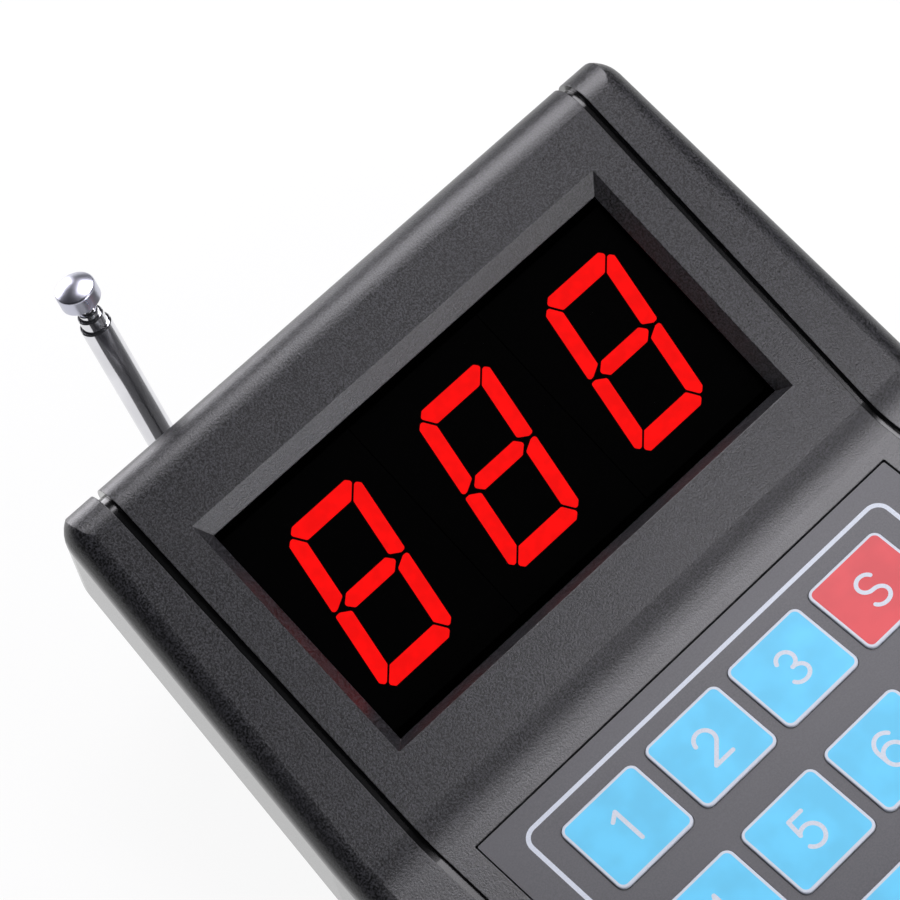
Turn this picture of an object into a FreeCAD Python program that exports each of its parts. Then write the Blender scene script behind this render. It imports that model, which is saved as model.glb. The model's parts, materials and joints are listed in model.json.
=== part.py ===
import FreeCAD, Part
import math
import os

import Sketcher
from FreeCAD import Placement, Rotation, Vector

# Driving sizes of the transmitter, in millimetres and degrees
SIZES = {
    # case seen from the side
    "keypad_slope_deg": 3.5,
    "display_slope_deg": 29.0,
    "front_height": 15.0,
    "keypad_front_land": 8.1,
    "keypad_rear_land": 6.7,
    "window_front_land": 13.5,
    "window_rear_land": 18.6,
    "bend_radius": 15.0,
    "end_radius": 6.0,
    "edge_radius": 4.5,
    "skirt_depth": 18.0,
    "front_split_height": 5.0,
    "draft_deg": 3.5,
    # case seen from above
    "groove_land": 5.7,
    "groove_width": 1.5,
    "groove_depth": 1.2,
    "cheek_width": 14.4,
    "cheek_rear_width": 12.3,
    "flare_from_bend": 8.0,
    "corner_radius": 6.4,
    # case walls
    "top_wall": 3.0,
    "side_wall": 2.5,
    "floor_wall": 2.0,
    "split_inset": 1.5,
    "flange_thickness": 2.0,
    "tongue_height": 1.5,
    "tongue_thickness": 1.2,
    "fit_gap": 0.2,
    "tub_inset": 10.1,
    "tub_front_inset": 9.0,
    "tub_corner_radius": 8.0,
    "overrun": 1.0,
    # display window, measured along the display face
    "window_side_margin": 1.55,
    "window_height": 49.7,
    "bevel_depth": 2.5,
    "bevel_side": 2.1,
    "bevel_rear": 3.3,
    "bevel_front": 1.4,
    "lens_thickness": 1.0,
    "lens_border": 2.3,
    # digits
    "digit_height": 30.8,
    "digit_width": 16.3,
    "digit_pitch": 29.6,
    "digit_slant_deg": 9.3,
    "bar_width": 3.3,
    "stroke_width": 2.9,
    "middle_bar_width": 2.8,
    "segment_gap": 0.6,
    "middle_gap": 0.9,
    "digit_corner_cut": 1.9,
    "segment_depth": 1.0,
    "segment_fit": 0.04,
    "segment_rounding": 0.5,
    "digit_drop": 0.3,
    "module_gap": 0.2,
    "module_margin": 1.5,
    "module_depth": 8.0,
    "lens_gap": 0.1,
    "board_thickness": 1.6,
    "display_board_border": 1.5,
    "display_post_from_window": 0.95,
    "display_post_radius": 2.3,
    "display_post_from_side": 2.8,
    "display_post_from_end": 4.5,
    # keypad
    "key_width": 16.7,
    "key_length": 15.1,
    "key_pitch": 19.05,
    "row_pitch": 21.58,
    "key_radius": 1.6,
    "key_edge_radius": 0.25,
    "key_rise": 0.5,
    "key_clearance": 0.15,
    "key_travel": 0.3,
    "overlay_side_margin": 10.6,
    "overlay_end_margin": 7.7,
    "overlay_thickness": 0.9,
    "overlay_sunk": 0.2,
    "overlay_gap": 0.3,
    "overlay_radius": 0.3,
    "circuit_thickness": 0.4,
    "dome_radius": 4.0,
    "dome_height": 0.25,
    "tail_width": 14.0,
    "tail_thickness": 0.3,
    "tail_from_edge": 3.0,
    "tail_slot_gap": 0.5,
    "tail_seat": 1.0,
    "contact_gap": 0.05,
    "dome_top_radius": 2.6,
    "connector_height": 4.0,
    "connector_depth": 4.5,
    "connector_border": 2.0,
    # main board and what stands on it
    "board_side_gap": 1.0,
    "main_board_front": -27.0,
    "main_board_rear_gap": 2.0,
    "main_board_height": 9.0,
    "board_post_radius": 3.0,
    "board_post_inset": 5.0,
    "radio_width": 19.0,
    "radio_length": 16.0,
    "radio_height": 3.0,
    "radio_from_rear": 30.0,
    "shield_wall": 0.4,
    "radio_chip_side": 8.0,
    "radio_chip_height": 1.0,
    "chip_side": 12.0,
    "chip_height": 1.6,
    "chip_from_front": 40.0,
    "buzzer_radius": 6.0,
    "buzzer_height": 6.5,
    "buzzer_hole_radius": 1.0,
    "buzzer_from_side": 15.0,
    "buzzer_from_rear": 32.0,
    "capacitor_radius": 3.2,
    "capacitor_height": 9.0,
    "capacitor_across": 10.0,
    "capacitor_from_rear": 12.0,
    "link_from_front": 62.0,
    # power inlet
    "jack_from_side": 17.0,
    "jack_length": 14.0,
    "jack_cover": 0.4,
    "jack_barrel_radius": 3.15,
    "jack_sleeve_radius": 4.1,
    "jack_pin_radius": 1.0,
    "jack_axis_height": 6.5,
    "jack_bore_depth": 9.0,
    "jack_gap": 0.2,
    # fasteners and feet
    "boss_radius": 3.5,
    "post_radius": 4.0,
    "screw_from_side": 5.0,
    "front_screw_from_wall": 21.0,
    "rear_screw_from_wall": 4.5,
    "screw_seat_height": 7.0,
    "screw_head_radius": 2.6,
    "screw_head_height": 1.8,
    "screw_radius": 1.3,
    "screw_length": 7.0,
    "board_screw_length": 6.0,
    "screw_ledge": 2.0,
    "hole_gap": 0.2,
    "screw_gap": 0.1,
    "screw_socket_radius": 1.1,
    "screw_socket_depth": 1.0,
    "counterbore_gap": 0.4,
    "foot_radius": 5.5,
    "foot_height": 1.5,
    "foot_sunk": 0.8,
    "foot_from_side": 11.5,
    "foot_inset": 9.0,
    "rear_foot_inset": 22.0,
    # antenna
    "antenna_from_side": 22.55,
    "antenna_tilt_back_deg": 7.8,
    "pivot_height": 20.4,
    "pivot_from_wall": 8.5,
    "bush_radius": 3.0,
    "bush_flange_radius": 5.0,
    "bush_flange_thickness": 1.5,
    "bush_length": 6.5,
    "bush_bore_radius": 1.5,
    "bush_gap": 0.1,
    "nut_across_corners": 9.5,
    "nut_thickness": 2.0,
    "swivel_gap": 0.1,
    "swivel_disc_thickness": 1.6,
    "swivel_radius": 4.5,
    "spigot_length": 4.0,
    "spigot_clearance": 0.05,
    "ear_thickness": 1.5,
    "pin_head_radius": 1.7,
    "pin_head_thickness": 0.5,
    "knuckle_width": 4.0,
    "knuckle_radius": 3.3,
    "knuckle_clearance": 0.2,
    "pivot_pin_radius": 1.0,
    "pin_clearance": 0.03,
    "tube_radius": 2.75,
    "tube_wall": 0.25,
    "tube_clearance": 0.06,
    "mouth_lip": 0.2,
    "mouth_length": 2.0,
    "collar_length": 4.0,
    "tube_start": 5.5,
    "tube_length": 44.0,
    "first_step": 2.4,
    "tube_step": 1.1,
    "tube_foot_step": 1.5,
    "mouth_chamfer": 0.15,
    "cap_radius": 3.5,
    "cap_height": 4.4,
    "cap_edge_radius": 0.5,
    "cap_dome_rise": 1.0,
    "cap_chamfer": 0.6,
    "neck_radius": 1.9,
    "lead_radius": 0.5,
    # counts
    "columns": 4,
    "rows": 4,
    "digits": 3,
    "telescoping_tubes": 3,
}

doc = FreeCAD.newDocument("guest_pager_transmitter")
sheet = doc.addObject("Spreadsheet::Sheet", "Sizes")
for row, (alias, number) in enumerate(SIZES.items(), 1):
    sheet.set(f"A{row}", alias)
    sheet.set(f"B{row}", str(number))
    sheet.setAlias(f"B{row}", alias)
doc.recompute()


def size(alias):
    """The number that the sheet holds under an alias."""
    return float(sheet.get(alias))


def slope_of(alias):
    return math.radians(size(alias))


# Sizes that follow from the driving ones
columns = int(size("columns"))
rows = int(size("rows"))
digits = int(size("digits"))
overrun = size("overrun")
draft = math.tan(slope_of("draft_deg"))
keys_width = (columns - 1) * size("key_pitch") + size("key_width")
keys_length = (rows - 1) * size("row_pitch") + size("key_length")
overlay_width = keys_width + 2 * size("overlay_side_margin")
overlay_length = keys_length + 2 * size("overlay_end_margin")
keypad_run = size("keypad_front_land") + overlay_length + size("keypad_rear_land")
display_run = size("window_front_land") + size("window_height") + size("window_rear_land")
groove_across = overlay_width / 2 + size("groove_land")
front_half = groove_across + size("cheek_width")
rear_half = groove_across + size("cheek_rear_width")
split = size("front_split_height")

# The bend line between the keypad face and the display face, and the two sharp end corners
keypad_rise = math.tan(slope_of("keypad_slope_deg"))
display_rise = math.tan(slope_of("display_slope_deg"))
bend_height = size("front_height") + keypad_run * math.sin(slope_of("keypad_slope_deg"))
front_foot_reach = (
    keypad_run * math.cos(slope_of("keypad_slope_deg")) + (size("front_height") - split) * draft
)
rear_top_height = bend_height + display_run * math.sin(slope_of("display_slope_deg"))
rear_foot_reach = (
    display_run * math.cos(slope_of("display_slope_deg")) + (rear_top_height - split) * draft
)
rear_split_height = rear_top_height - size("skirt_depth")
rear_wall_reach = rear_foot_reach - (rear_split_height - split) * draft - size("split_inset")
antenna_tilt = slope_of("antenna_tilt_back_deg")
tube_tops = [size("tube_start") + size("tube_length")]
for step in range(int(size("telescoping_tubes"))):
    tube_tops.append(tube_tops[-1] + (size("tube_step") if step else size("first_step")))
cap_foot = tube_tops[-1] + size("tube_step")
cap_top = cap_foot + size("cap_height")
cap_dome_radius = (size("cap_radius") ** 2 + size("cap_dome_rise") ** 2) / (2 * size("cap_dome_rise"))
cap_dome_centre = cap_top - cap_dome_radius
cap_edge_across = size("cap_radius") - size("cap_edge_radius")
cap_shoulder = cap_dome_centre + math.sqrt(
    (cap_dome_radius - size("cap_edge_radius")) ** 2 - cap_edge_across**2
)
antenna_reach = (
    rear_wall_reach
    + size("pivot_from_wall")
    + cap_shoulder * math.sin(antenna_tilt)
    + cap_edge_across * math.cos(antenna_tilt)
    + size("cap_edge_radius")
)

# The origin is on the desk, midway between the front of the case and the back of the antenna
bend_y = (front_foot_reach - antenna_reach) / 2
front_foot_y = bend_y - front_foot_reach
rear_foot_y = bend_y + rear_foot_reach
rear_wall_y = bend_y + rear_wall_reach
flare_y = bend_y + size("flare_from_bend")
pivot_y = rear_wall_y + size("pivot_from_wall")
tub_half = front_half - size("tub_inset")
tub_front_y = front_foot_y + size("tub_front_inset")
floor_top = size("foot_height") + size("floor_wall")
board_top = size("main_board_height") + size("board_thickness")
screw_across = tub_half - size("side_wall") - size("screw_from_side")
board_half = screw_across - size("post_radius") - size("board_side_gap")
antenna_across = size("antenna_from_side") - tub_half
jack_across = board_half - size("jack_from_side")
main_board_front_y = bend_y + size("main_board_front")
main_board_rear_y = rear_wall_y - size("side_wall") - size("main_board_rear_gap")

bend_point = Vector(0, bend_y, bend_height)
keypad_frame = Placement(bend_point, Rotation(Vector(1, 0, 0), size("keypad_slope_deg")))
display_frame = Placement(bend_point, Rotation(Vector(1, 0, 0), size("display_slope_deg")))
level = Placement()


def at(x, y, z, frame=level):
    """A placement moved by x, y and z along the axes of a frame."""
    return frame.multiply(Placement(Vector(x, y, z), Rotation()))


def turned_back(x, y, z):
    """A placement whose own +Z points to the rear, along +Y."""
    return Placement(Vector(x, y, z), Rotation(Vector(1, 0, 0), -90))


def upside_down(x, y, z):
    return Placement(Vector(x, y, z), Rotation(Vector(1, 0, 0), 180))


antenna_frame = Placement(
    Vector(antenna_across, pivot_y, size("pivot_height")),
    Rotation(Vector(1, 0, 0), -size("antenna_tilt_back_deg")),
)


parts = {}


def keep(node, thing):
    """Name a finished sub-part and list it for writing."""
    thing.Label = node
    parts[node] = thing
    return thing


def bind(thing, **expressions):
    """Bind properties of an object to expressions on the sheet."""
    for prop, expression in expressions.items():
        thing.setExpression(prop, expression)
    return thing


def cell(alias):
    return f"Sizes.{alias}"


# Primitives bound to the sheet
def cylinder(name, radius, height, place=level):
    thing = doc.addObject("Part::Cylinder", name)
    bind(thing, Radius=radius, Height=height)
    thing.Placement = place
    return thing


def box(name, width, length, height, place=level):
    """A box centred on its placement in x and y, standing on it."""
    thing = doc.addObject("Part::Box", name)
    bind(thing, Length=width, Width=length, Height=height)
    doc.recompute()
    thing.Placement = place.multiply(
        Placement(Vector(-thing.Length.Value / 2, -thing.Width.Value / 2, 0), Rotation())
    )
    return thing


def hexagon(name, radius, height, place=level):
    thing = doc.addObject("Part::Prism", name)
    bind(thing, Circumradius=radius, Height=height)
    thing.Placement = place
    return thing


def cut(name, base, tool):
    thing = doc.addObject("Part::Cut", name)
    thing.Base = base
    thing.Tool = tool
    return thing


def fuse(name, *members):
    thing = doc.addObject("Part::MultiFuse", name)
    thing.Shapes = list(members)
    return thing


def group(name, members):
    """Separate solids that share one node."""
    thing = doc.addObject("Part::Compound", name)
    thing.Links = list(members)
    return thing


def shaped(name, shape):
    """An object whose form comes from solid operations alone."""
    thing = doc.addObject("Part::Feature", name)
    thing.Shape = shape
    return thing


def origin_plane(body, role):
    return next(f for f in body.Origin.OriginFeatures if f.Role == role)


def rectangle_sketch(body, name, width, length):
    """A rectangle about the body's origin, its two sizes bound to the sheet."""
    sketch = body.newObject("Sketcher::SketchObject", name)
    sketch.AttachmentSupport = (origin_plane(body, "XY_Plane"), "")
    sketch.MapMode = "FlatFace"
    corners = [Vector(-1, -1, 0), Vector(1, -1, 0), Vector(1, 1, 0), Vector(-1, 1, 0)]
    for start, end in zip(corners, corners[1:] + corners[:1]):
        sketch.addGeometry(Part.LineSegment(start, end), False)
    for side in range(4):
        sketch.addConstraint(Sketcher.Constraint("Coincident", side, 2, (side + 1) % 4, 1))
    for side in (0, 2):
        sketch.addConstraint(Sketcher.Constraint("Horizontal", side))
        sketch.addConstraint(Sketcher.Constraint("Vertical", side + 1))
    sketch.addConstraint(Sketcher.Constraint("Symmetric", 0, 1, 2, 1, -1, 1))
    spans = (("DistanceX", 0, width, "width"), ("DistanceY", 1, length, "length"))
    for kind, side, bound, title in spans:
        number = sketch.addConstraint(Sketcher.Constraint(kind, side, 1, side, 2, 2.0))
        sketch.renameConstraint(number, title)
        sketch.setExpression(f"Constraints.{title}", bound)
    return sketch


def pad_on(body, sketch, height):
    pad = body.newObject("PartDesign::Pad", sketch.Name + "_pad")
    pad.Profile = sketch
    bind(pad, Length=height)
    doc.recompute()
    return pad


def fillet_on(body, base, radius, wanted):
    """Round the edges of a feature that a test picks out."""
    fillet = body.newObject("PartDesign::Fillet", base.Name + "_round")
    names = [f"Edge{i}" for i, edge in enumerate(base.Shape.Edges, 1) if wanted(edge)]
    fillet.Base = (base, names)
    bind(fillet, Radius=radius)
    doc.recompute()
    return fillet


def stands_up(edge):
    first, last = edge.Vertexes[0].Point, edge.Vertexes[-1].Point
    rise = abs(first.z - last.z)
    return math.hypot(first.x - last.x, first.y - last.y) < rise


def plate(node, width, length, height, place=level, corner=None, edge=None):
    """A flat plate centred on its placement, with rounded corners and top edge where they are given."""
    body = doc.addObject("PartDesign::Body", node)
    last = pad_on(body, rectangle_sketch(body, node + "_outline", width, length), height)
    if corner:
        last = fillet_on(body, last, corner, stands_up)
    if edge:
        top = last.Shape.BoundBox.ZMax
        last = fillet_on(body, last, edge, lambda e: e.BoundBox.ZMin > top / 2)
    body.Tip = last
    body.Placement = place
    return body


# Case forms
def rounded_face(corners, radii):
    """A face in the YZ plane from (y, z) corners, each rounded by its radius where that isn't zero."""
    points = [Vector(0, y, z) for y, z in corners]
    count = len(points)
    edges = []
    first_start = last_end = None
    for i, point in enumerate(points):
        before = (points[i - 1] - point).normalize()
        after = (points[(i + 1) % count] - point).normalize()
        start = end = point
        if radii[i] > 0:
            half_turn = before.getAngle(after) / 2
            reach = radii[i] / math.tan(half_turn)
            start = point + before * reach
            end = point + after * reach
            inward = (before + after).normalize()
            centre = point + inward * (radii[i] / math.sin(half_turn))
            middle = centre - inward * radii[i]
        if last_end is not None:
            edges.append(Part.LineSegment(last_end, start).toShape())
        else:
            first_start = start
        if radii[i] > 0:
            edges.append(Part.Arc(start, middle, end).toShape())
        last_end = end
    edges.append(Part.LineSegment(last_end, first_start).toShape())
    return Part.Face(Part.Wire(edges))


def across(face, from_x, to_x):
    """A face in the YZ plane swept along X."""
    moved = face.copy()
    moved.translate(Vector(from_x, 0, 0))
    return moved.extrude(Vector(to_x - from_x, 0, 0))


def keypad_z(y, inset=0.0):
    return bend_height + (y - bend_y) * keypad_rise - inset / math.cos(slope_of("keypad_slope_deg"))


def display_z(y, inset=0.0):
    return bend_height + (y - bend_y) * display_rise - inset / math.cos(slope_of("display_slope_deg"))


def bend_at(inset):
    """Where the two faces meet once both are moved in."""
    keypad_drop = inset / math.cos(slope_of("keypad_slope_deg"))
    display_drop = inset / math.cos(slope_of("display_slope_deg"))
    y = bend_y + (display_drop - keypad_drop) / (display_rise - keypad_rise)
    return y, keypad_z(y, inset)


def wall_crossing(wall_y, rise, height, inward):
    """Where a drafted end wall, moved in, meets a sloping face. Height is the face's at the bend."""
    y = (wall_y + inward * draft * (height - bend_y * rise - split)) / (1 - inward * draft * rise)
    return y, height + (y - bend_y) * rise


def side_section(wall, top, rounded=True):
    """The case seen from the side, its walls and top moved in, running below the split."""
    low = split - size("skirt_depth") - overrun
    front = wall_crossing(front_foot_y + wall, keypad_rise, keypad_z(bend_y, top), 1)
    rear = wall_crossing(rear_foot_y - wall, display_rise, display_z(bend_y, top), -1)
    front_low = (front_foot_y + wall + (low - split) * draft, low)
    rear_low = (rear_foot_y - wall - (low - split) * draft, low)
    edge = size("end_radius") - wall if rounded else 0
    corners = [front_low, front, bend_at(top), rear, rear_low]
    return rounded_face(corners, [0, edge, size("bend_radius") + top, edge, 0])


def split_section(rise=0.0, depth=0.0):
    """What lies between the split line, raised, and a depth under it, or all below where that is zero."""
    front = front_foot_y - size("skirt_depth")
    rear = rear_foot_y + size("skirt_depth")
    turn = bend_y + (split + size("skirt_depth") - bend_height) / display_rise
    rear_z = split + (rear - turn) * display_rise
    low = -size("skirt_depth")
    top = [(front, split + rise), (turn, split + rise), (rear, rear_z + rise)]
    if depth > 0:
        bottom = [(rear, rear_z - depth), (turn, split - depth), (front, split - depth)]
    else:
        bottom = [(rear, low), (front, low)]
    corners = top + bottom
    return rounded_face(corners, [0] * len(corners))


def plan_block(inset):
    """The drafted block inside the case's four walls, moved in, with rounded corners."""
    low = -size("skirt_depth")
    high = rear_top_height + size("skirt_depth")
    narrowing = (front_half - rear_half) / (rear_foot_y - flare_y)

    def outline(height):
        lean = (height - split) * draft + inset
        front, rear = front_foot_y + lean, rear_foot_y - lean
        half = front_half - lean
        right = [(half, front), (half, flare_y), (half - (rear - flare_y) * narrowing, rear)]
        left = [(-x, y) for x, y in reversed(right)]
        return [Vector(x, y, height) for x, y in right + left]

    below, above = outline(low), outline(high)
    rings = (below[::-1] + below[-1:], above + above[:1])
    walls = [Part.Face(Part.makePolygon(ring)) for ring in rings]
    for i, point in enumerate(below):
        j = (i + 1) % len(below)
        walls.append(Part.Face(Part.makePolygon([point, below[j], above[j], above[i], point])))
    shell = Part.makeShell(walls)
    shell.sewShape()
    block = Part.makeSolid(shell)
    upright_edges = [edge for edge in block.Edges if stands_up(edge)]
    corners = [edge for edge in upright_edges if abs(edge.CenterOfMass.y - flare_y) > overrun]
    return block.makeFillet(size("corner_radius") - inset, corners)


def upright(radius, x, y, low, high):
    return Part.makeCylinder(radius, high - low, Vector(x, y, low))


screw_ledge_height = size("screw_seat_height") - size("screw_ledge")


def rear_screw_y():
    return rear_wall_y - size("side_wall") - size("rear_screw_from_wall")


def case_screw_places():
    """Where the four case screws stand, as x and y."""
    front_y = tub_front_y + size("side_wall") + size("front_screw_from_wall")
    return [(side * screw_across, y) for y in (front_y, rear_screw_y()) for side in (-1, 1)]


window_half = digits * size("digit_pitch") / 2 + size("window_side_margin")


def window_tool():
    """What the bevelled window takes out of the display face."""
    half = window_half
    front = size("window_front_land")
    rear = front + size("window_height")

    def outline(depth):
        share = depth / size("bevel_depth")
        x = half - size("bevel_side") * share
        low = front + size("bevel_front") * share
        high = rear - size("bevel_rear") * share
        z = -depth
        points = [Vector(-x, low, z), Vector(x, low, z), Vector(x, high, z), Vector(-x, high, z)]
        return Part.makePolygon(points + points[:1])

    bevel = Part.makeLoft([outline(-overrun), outline(size("bevel_depth"))], True, True)
    straight = Part.Face(outline(size("bevel_depth"))).extrude(Vector(0, 0, -size("top_wall")))
    tool = bevel.fuse(straight)
    tool.Placement = display_frame
    return tool


def keypad_tool(width, length, radius, y, low, high, x=0.0):
    """An upright rounded block standing on the keypad face's own axes."""
    block = Part.makeBox(width, length, high - low, Vector(x - width / 2, y - length / 2, low))
    if radius > 0:
        block = block.makeFillet(radius, [edge for edge in block.Edges if stands_up(edge)])
    block.Placement = keypad_frame
    return block


overlay_centre = -size("keypad_rear_land") - overlay_length / 2
wide = front_half + size("skirt_depth")
recess_depth = size("overlay_sunk") + size("overlay_thickness") + size("circuit_thickness")
tail_y = -size("keypad_rear_land") - size("tail_from_edge")


window_opening = size("window_height") - size("bevel_front") - size("bevel_rear")
window_middle = size("window_front_land") + size("bevel_front") + window_opening / 2
module_half = window_opening / 2 - size("module_margin")


def display_post_places():
    """Where the posts behind the window stand, along the display face."""
    x = window_half + size("display_post_from_window") + size("display_post_radius")
    reach = module_half + size("display_board_border") - size("display_post_from_end")
    return [(side * x, window_middle + end * reach) for side in (-1, 1) for end in (-1, 1)]


display_board_depth = (
    size("top_wall") + size("lens_thickness") + size("lens_gap") + size("module_depth")
)


def upper_case():
    block = plan_block(0)
    high = rear_top_height + size("skirt_depth")
    top = block.common(across(side_section(0, 0, rounded=False), -wide, wide))
    outer = top.cut(across(split_section(), -wide, wide))
    roof = [face for face in outer.Faces if face.normalAt(*middle_of(face)).z > math.cos(math.pi / 4)]
    rim = [
        edge
        for edge in outer.Edges
        if sum(any(edge.isSame(other) for other in face.Edges) for face in roof) == 1
    ]
    outer = outer.makeFillet(size("edge_radius"), rim)
    outer = outer.common(across(side_section(0, 0), -wide, wide))
    cavity = plan_block(size("side_wall")).common(
        across(side_section(size("side_wall"), size("top_wall")), -wide, wide)
    )
    shell = outer.cut(cavity)
    seat = size("screw_seat_height")
    bosses = [upright(size("boss_radius"), x, y, seat, high) for x, y in case_screw_places()]
    posts = []
    for x, y in display_post_places():
        foot = Vector(x, y, -display_board_depth)
        post = Part.makeCylinder(size("display_post_radius"), display_board_depth, foot)
        post.Placement = display_frame
        posts.append(post)
    shell = shell.fuse([boss.common(outer) for boss in bosses + posts])
    tools = [window_tool()]
    tools.append(
        keypad_tool(
            overlay_width + 2 * size("overlay_gap"),
            overlay_length + 2 * size("overlay_gap"),
            size("overlay_radius"),
            overlay_centre,
            -recess_depth,
            size("edge_radius"),
        )
    )
    slot = size("tail_slot_gap")
    tools.append(
        keypad_tool(
            size("tail_width") + 2 * slot,
            size("tail_thickness") + 2 * slot,
            0,
            tail_y,
            -size("top_wall") - overrun,
            0,
        )
    )
    sunk = across(side_section(size("groove_depth"), size("groove_depth")), -wide, wide)
    for side in (-1, 1):
        slab = Part.makeBox(
            size("groove_width"),
            rear_foot_y - front_foot_y + 2 * overrun,
            high,
            Vector(side * groove_across - size("groove_width") / 2, front_foot_y - overrun, 0),
        )
        tools.append(slab.cut(sunk))
    pilot = size("screw_radius") + size("screw_gap")
    for x, y in case_screw_places():
        tip = screw_ledge_height + size("screw_length")
        tools.append(upright(pilot, x, y, seat - overrun, tip + size("screw_gap")))
    for x, y in display_post_places():
        hole = Part.makeCylinder(
            size("screw_radius") + size("screw_gap"),
            size("screw_length") + overrun,
            Vector(x, y, -display_board_depth - overrun),
        )
        hole.Placement = display_frame
        tools.append(hole)
    return keep("upper_case", shaped("upper_case", shell.cut(tools).removeSplitter()))


def middle_of(face):
    u1, u2, v1, v2 = face.ParameterRange
    return (u1 + u2) / 2, (v1 + v2) / 2


def split_flange():
    """The flat rim of the lower case that closes the upper case along the split line."""
    section = split_section(0, size("flange_thickness"))
    return plan_block(size("split_inset")).common(across(section, -wide, wide))


def tub(inset, low):
    """The deep part of the lower case, its walls moved in, from a height up to the split line."""
    front = tub_front_y + inset
    half = tub_half - inset
    high = rear_top_height
    block = Part.makeBox(2 * half, rear_wall_y - inset - front, high - low, Vector(-half, front, low))
    return block.makeFillet(size("tub_corner_radius") - inset, [e for e in block.Edges if stands_up(e)])


def split_tongue():
    """The low rib that stands inside the upper case's walls."""
    outside = size("side_wall") + size("fit_gap")
    ring = plan_block(outside).cut(plan_block(outside + size("tongue_thickness")))
    raised = across(split_section(size("tongue_height")), -wide, wide)
    return ring.common(raised).cut(across(split_section(), -wide, wide))


def board_post_places():
    x = board_half - size("board_post_inset")
    ends = (main_board_front_y + size("board_post_inset"), main_board_rear_y - size("board_post_inset"))
    return [(side * x, y) for side in (-1, 1) for y in ends]


def foot_places():
    x = tub_half - size("foot_from_side")
    front = tub_front_y + size("foot_inset")
    rear = rear_wall_y - size("rear_foot_inset")
    return [(side * x, y) for side in (-1, 1) for y in (front, rear)]


jack_axis_z = board_top + size("jack_axis_height")


def lower_case():
    below = across(split_section(), -wide, wide)
    shell = split_flange().fuse(tub(0, size("foot_height")).common(below))
    shell = shell.cut(tub(size("side_wall"), floor_top))
    seat = size("screw_seat_height")
    post, low_end = size("post_radius"), size("foot_height")
    posts = [upright(post, x, y, low_end, seat) for x, y in case_screw_places()]
    board_height = size("main_board_height")
    board_post = size("board_post_radius")
    posts += [upright(board_post, x, y, floor_top, board_height) for x, y in board_post_places()]
    shell = shell.fuse(posts + [split_tongue()])
    tools = []
    for x, y in case_screw_places():
        head = size("screw_head_radius") + size("counterbore_gap")
        tools.append(upright(head, x, y, 0, screw_ledge_height))
        tools.append(upright(size("screw_radius") + size("hole_gap"), x, y, 0, seat + overrun))
    for x, y in board_post_places():
        low = board_top - size("board_screw_length") - size("screw_gap")
        tools.append(upright(size("screw_radius") + size("screw_gap"), x, y, low, board_height + overrun))
    for x, y in foot_places():
        seat_radius = size("foot_radius") + size("contact_gap")
        tools.append(upright(seat_radius, x, y, 0, size("foot_height") + size("foot_sunk")))
    wall_start = rear_wall_y - size("side_wall") - overrun
    through = size("side_wall") + 2 * overrun
    for radius, x, z in (
        (size("bush_radius") + size("bush_gap"), antenna_across, size("pivot_height")),
        (size("jack_sleeve_radius") + size("jack_gap"), jack_across, jack_axis_z),
    ):
        tools.append(Part.makeCylinder(radius, through, Vector(x, wall_start, z), Vector(0, 1, 0)))
    return keep("lower_case", shaped("lower_case", shell.cut(tools).removeSplitter()))


# Display
window_width = "(Sizes.digits * Sizes.digit_pitch + 2 * Sizes.window_side_margin)"
window_inner_width = f"({window_width} - 2 * Sizes.bevel_side)"
window_inner_height = "(Sizes.window_height - Sizes.bevel_front - Sizes.bevel_rear)"
module_height = f"({window_inner_height} - 2 * Sizes.module_margin)"
digit_face = -(size("top_wall") + size("lens_thickness") + size("lens_gap"))


def display_lens():
    place = at(0, window_middle, -(size("top_wall") + size("lens_thickness")), display_frame)
    width = f"{window_inner_width} + 2 * Sizes.lens_border"
    height = f"{window_inner_height} + 2 * Sizes.lens_border"
    return keep("display_lens", plate("display_lens", width, height, cell("lens_thickness"), place))


def segment_outlines():
    """The seven segments of an upright digit about its middle, as lists of corners."""
    half_w, half_h = size("digit_width") / 2, size("digit_height") / 2
    bar, stroke, middle = size("bar_width"), size("stroke_width"), size("middle_bar_width")
    gap, cut_back = size("segment_gap") / 2, size("digit_corner_cut")
    notch = size("middle_gap")
    top_bar = [
        (-half_w + cut_back + gap, half_h),
        (half_w - cut_back - gap, half_h),
        (half_w - cut_back / 2 - gap, half_h - cut_back / 2),
        (half_w - stroke - gap, half_h - bar),
        (-half_w + stroke + gap, half_h - bar),
        (-half_w + cut_back / 2 + gap, half_h - cut_back / 2),
    ]
    left_stroke = [
        (-half_w, half_h - cut_back - gap),
        (-half_w + cut_back / 2, half_h - cut_back / 2 - gap),
        (-half_w + stroke, half_h - bar - gap),
        (-half_w + stroke, middle / 2),
        (-half_w + cut_back / 2, gap),
        (-half_w, gap),
    ]
    tip = half_w - stroke / 2 - notch
    middle_bar = [
        (-tip, 0),
        (-tip + middle / 2, middle / 2),
        (tip - middle / 2, middle / 2),
        (tip, 0),
        (tip - middle / 2, -middle / 2),
        (-tip + middle / 2, -middle / 2),
    ]
    outlines = [middle_bar]
    for up in (1, -1):
        outlines.append([(x, up * y) for x, y in top_bar])
        for side in (1, -1):
            outlines.append([(side * x, up * y) for x, y in left_stroke])
    return outlines


def segment_solids(grow, extra):
    """One digit's segments, slanted, with rounded ends, grown all round and raised by an extra height."""
    slant = math.tan(slope_of("digit_slant_deg"))
    solids = []
    for outline in segment_outlines():
        points = [Vector(x + y * slant, y, -size("segment_depth")) for x, y in outline]
        sharp = Part.makePolygon(points + points[:1])
        inner = sharp.makeOffset2D(-size("segment_rounding"), 2)
        wire = inner.makeOffset2D(size("segment_rounding") + grow, 0)
        solids.append(Part.Face(wire).extrude(Vector(0, 0, size("segment_depth") + extra)))
    return solids


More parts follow.
